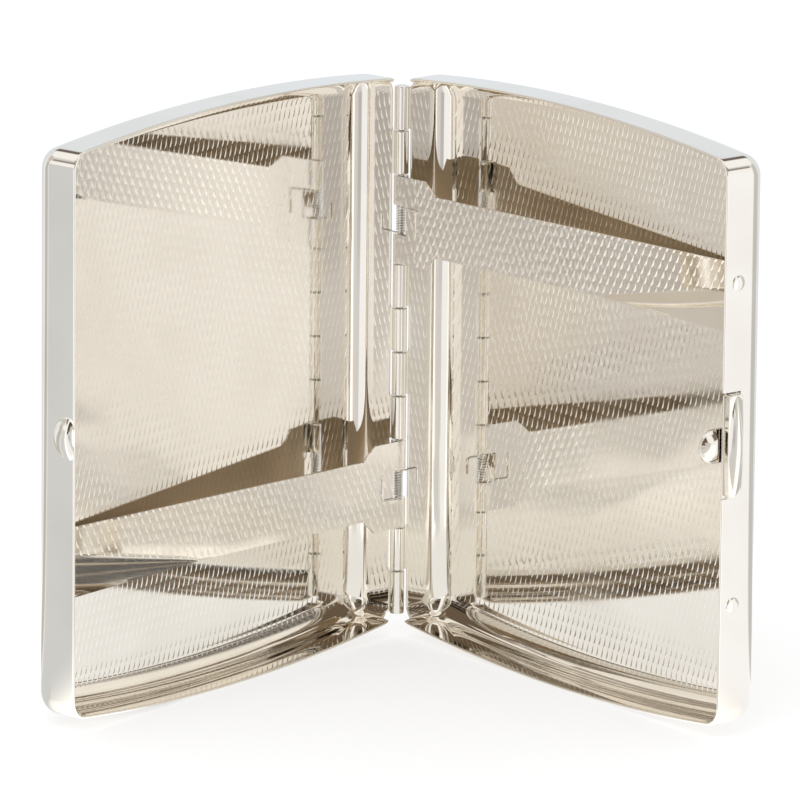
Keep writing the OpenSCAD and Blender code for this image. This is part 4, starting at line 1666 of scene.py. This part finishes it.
    def make_floor(self, group: bpy.types.NodeTree) -> None:
        """A large white floor that keeps a faint shadow of the case, and shows the metal the studio's glow with
        painted shade close round the case.
        """
        mesh = bpy.data.meshes.new("floor")
        r, n = 6.0, 48
        ring = [(r * math.cos(2 * math.pi * i / n), r * math.sin(2 * math.pi * i / n), 0.0) for i in range(n)]
        mesh.from_pydata(ring, [], [tuple(range(n))])
        floor = new_object("floor", mesh)
        made = bpy.data.materials.new("white_floor")
        made.use_nodes = True
        made.node_tree.nodes.clear()
        g = Graph(made.node_tree)
        rays = g.node("ShaderNodeLightPath")
        place = g.node("ShaderNodeTexCoord").outputs["Object"]
        away = g.node("ShaderNodeVectorMath", operation="SUBTRACT")
        g.join(place, away.inputs[0])
        away.inputs[1].default_value = (0.0, 0.0, self.hinge.middle_z * MM)
        spread = g.node("ShaderNodeVectorMath", operation="LENGTH")
        g.join(place, spread.inputs[0])
        shown = self._glow_node(g, group, away.outputs[0])
        # Painted shade: close round the case, the floor shows the metal a flat grey instead of the glow.
        shown = g.blend(g.step(spread.outputs["Value"], 0.02, 0.05), self.near + (1.0,), shown)
        paper = g.node("ShaderNodeBsdfDiffuse")
        paper.inputs["Color"].default_value = (0.5, 0.5, 0.5, 1.0)
        own = g.node("ShaderNodeEmission")
        own.inputs["Color"].default_value = (0.56, 0.56, 0.56, 1.0)
        lit = g.node("ShaderNodeAddShader")
        g.join(paper.outputs[0], lit.inputs[0])
        g.join(own.outputs[0], lit.inputs[1])
        mirrored = g.node("ShaderNodeEmission")
        g.join(shown, mirrored.inputs["Color"])
        mix = g.node("ShaderNodeMixShader")
        g.join(rays.outputs["Is Glossy Ray"], mix.inputs[0])
        g.join(lit.outputs[0], mix.inputs[1])
        g.join(mirrored.outputs[0], mix.inputs[2])
        g.join(mix.outputs[0], g.node("ShaderNodeOutputMaterial").inputs["Surface"])
        mesh.materials.append(made)

    def make_lamp(self) -> None:
        """A large soft lamp over the camera's left, for the shadow on the floor."""
        light = bpy.data.lights.new("softbox", "AREA")
        light.shape = "DISK"
        light.size = 1.6
        light.energy = 9.0
        lamp = bpy.data.objects.new("softbox", light)
        lamp.location = (-0.6, -1.2, 1.9)
        lamp.rotation_euler = (-Vector(lamp.location)).to_track_quat("-Z", "Y").to_euler()
        lamp.visible_glossy = False
        bpy.context.scene.collection.objects.link(lamp)

    def make(self) -> None:
        """Builds the room."""
        group = self._glow()
        self.make_world(group)
        self.make_floor(group)
        self.make_lamp()


@dataclass(frozen=True)
class Camera:
    """The photograph's view: a long lens that looks slightly down at the case, in mm and degrees."""

    focal: float = 421.66
    distance: float = 1595.10
    down: float = 13.6555
    roll: float = 0.5896
    aim: tuple[float, float, float] = (0.1938, 0.0, -8.5944)

    def make(self, hinge: Hinge) -> None:
        """Sets the camera up and makes it the scene's."""
        data = bpy.data.cameras.new("camera")
        data.sensor_width = 36.0
        data.lens = self.focal
        data.clip_start, data.clip_end = 0.05, 50.0
        view = bpy.data.objects.new("camera", data)
        s, c = math.sin(math.radians(self.down)), math.cos(math.radians(self.down))
        forward, right = Vector((0, c, -s)), Vector((1, 0, 0))
        up = right.cross(forward)
        rs, rc = math.sin(math.radians(self.roll)), math.cos(math.radians(self.roll))
        right, up = right * rc + up * rs, up * rc - right * rs
        target = Vector((self.aim[0], self.aim[1] + hinge.pin_y, self.aim[2] + hinge.middle_z))
        turn = Matrix((right, up, -forward)).transposed().to_4x4()
        view.matrix_world = Matrix.Translation((target - forward * self.distance) * MM) @ turn
        bpy.context.scene.collection.objects.link(view)
        bpy.context.scene.camera = view


# ---------------------------------------------------------------------------------------------
# The case
# ---------------------------------------------------------------------------------------------


@dataclass
class Case:
    """The whole case on its hinge."""

    hinge: Hinge
    sizes: CaseSizes = field(default_factory=CaseSizes)
    left_units: tuple[int, ...] = (1, 5, 7, 11)
    right_units: tuple[int, ...] = (0, 4, 6, 10)

    def make(self) -> None:
        """Builds every piece."""
        base = Emboss(pitch=1.28, row=2.0, fade_from=1.1, fade_to=1.6)
        strip = Emboss(1.55, 1.56, fade_from=0.0, fade_to=0.6, flank=0.36, aside=0.32, downward=0.04, matt=0.12)
        tray_metal = Plate("embossed_plate", emboss=base).material()
        arm_metal = Plate("embossed_strip", emboss=strip).material()
        bright = Plate("polished_plate", wave=0.004, wave_size=4.0).material()
        steel = Wire().material()
        c, h = self.sizes, self.hinge
        Tray(Side.LEFT, self.left_units, c, h).make("left_half", "left_shell", tray_metal)
        Tray(Side.RIGHT, self.right_units, c, h).make("right_half", "right_shell", tray_metal)
        knuckles = Knuckles(c, h)
        knuckles.make_row(Side.LEFT, self.left_units, "left_half", "left_knuckles", bright)
        knuckles.make_row(Side.RIGHT, self.right_units, "right_half", "right_knuckles", bright)
        knuckles.make_pin("left_half", steel)
        upper, lower = Arm(Side.RIGHT, c, h), Arm(Side.LEFT, c, h)
        upper.make("upper_holder", "upper_arm", arm_metal)
        lower.make("lower_holder", "lower_arm", arm_metal)
        ArmSpring(upper).make("upper_holder", "left_half", "upper_arm_spring", steel)
        ArmSpring(lower).make("lower_holder", "right_half", "lower_arm_spring", steel)
        Rivets(c, h).make("right_half", bright)
        Catch(c, h).make("catch", bright)
        Leaf(c, h).make("catch", "right_half", steel)


def main() -> None:
    """Builds the case, its room and the camera."""
    logging.basicConfig(level=logging.INFO, format="%(name)s: %(message)s")
    hinge = hinge_from_frame()
    Camera().make(hinge)
    Case(hinge).make()
    Studio(hinge).make()
    bpy.context.scene.view_settings.view_transform = "Standard"
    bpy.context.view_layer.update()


if __name__ == "__main__":
    main()
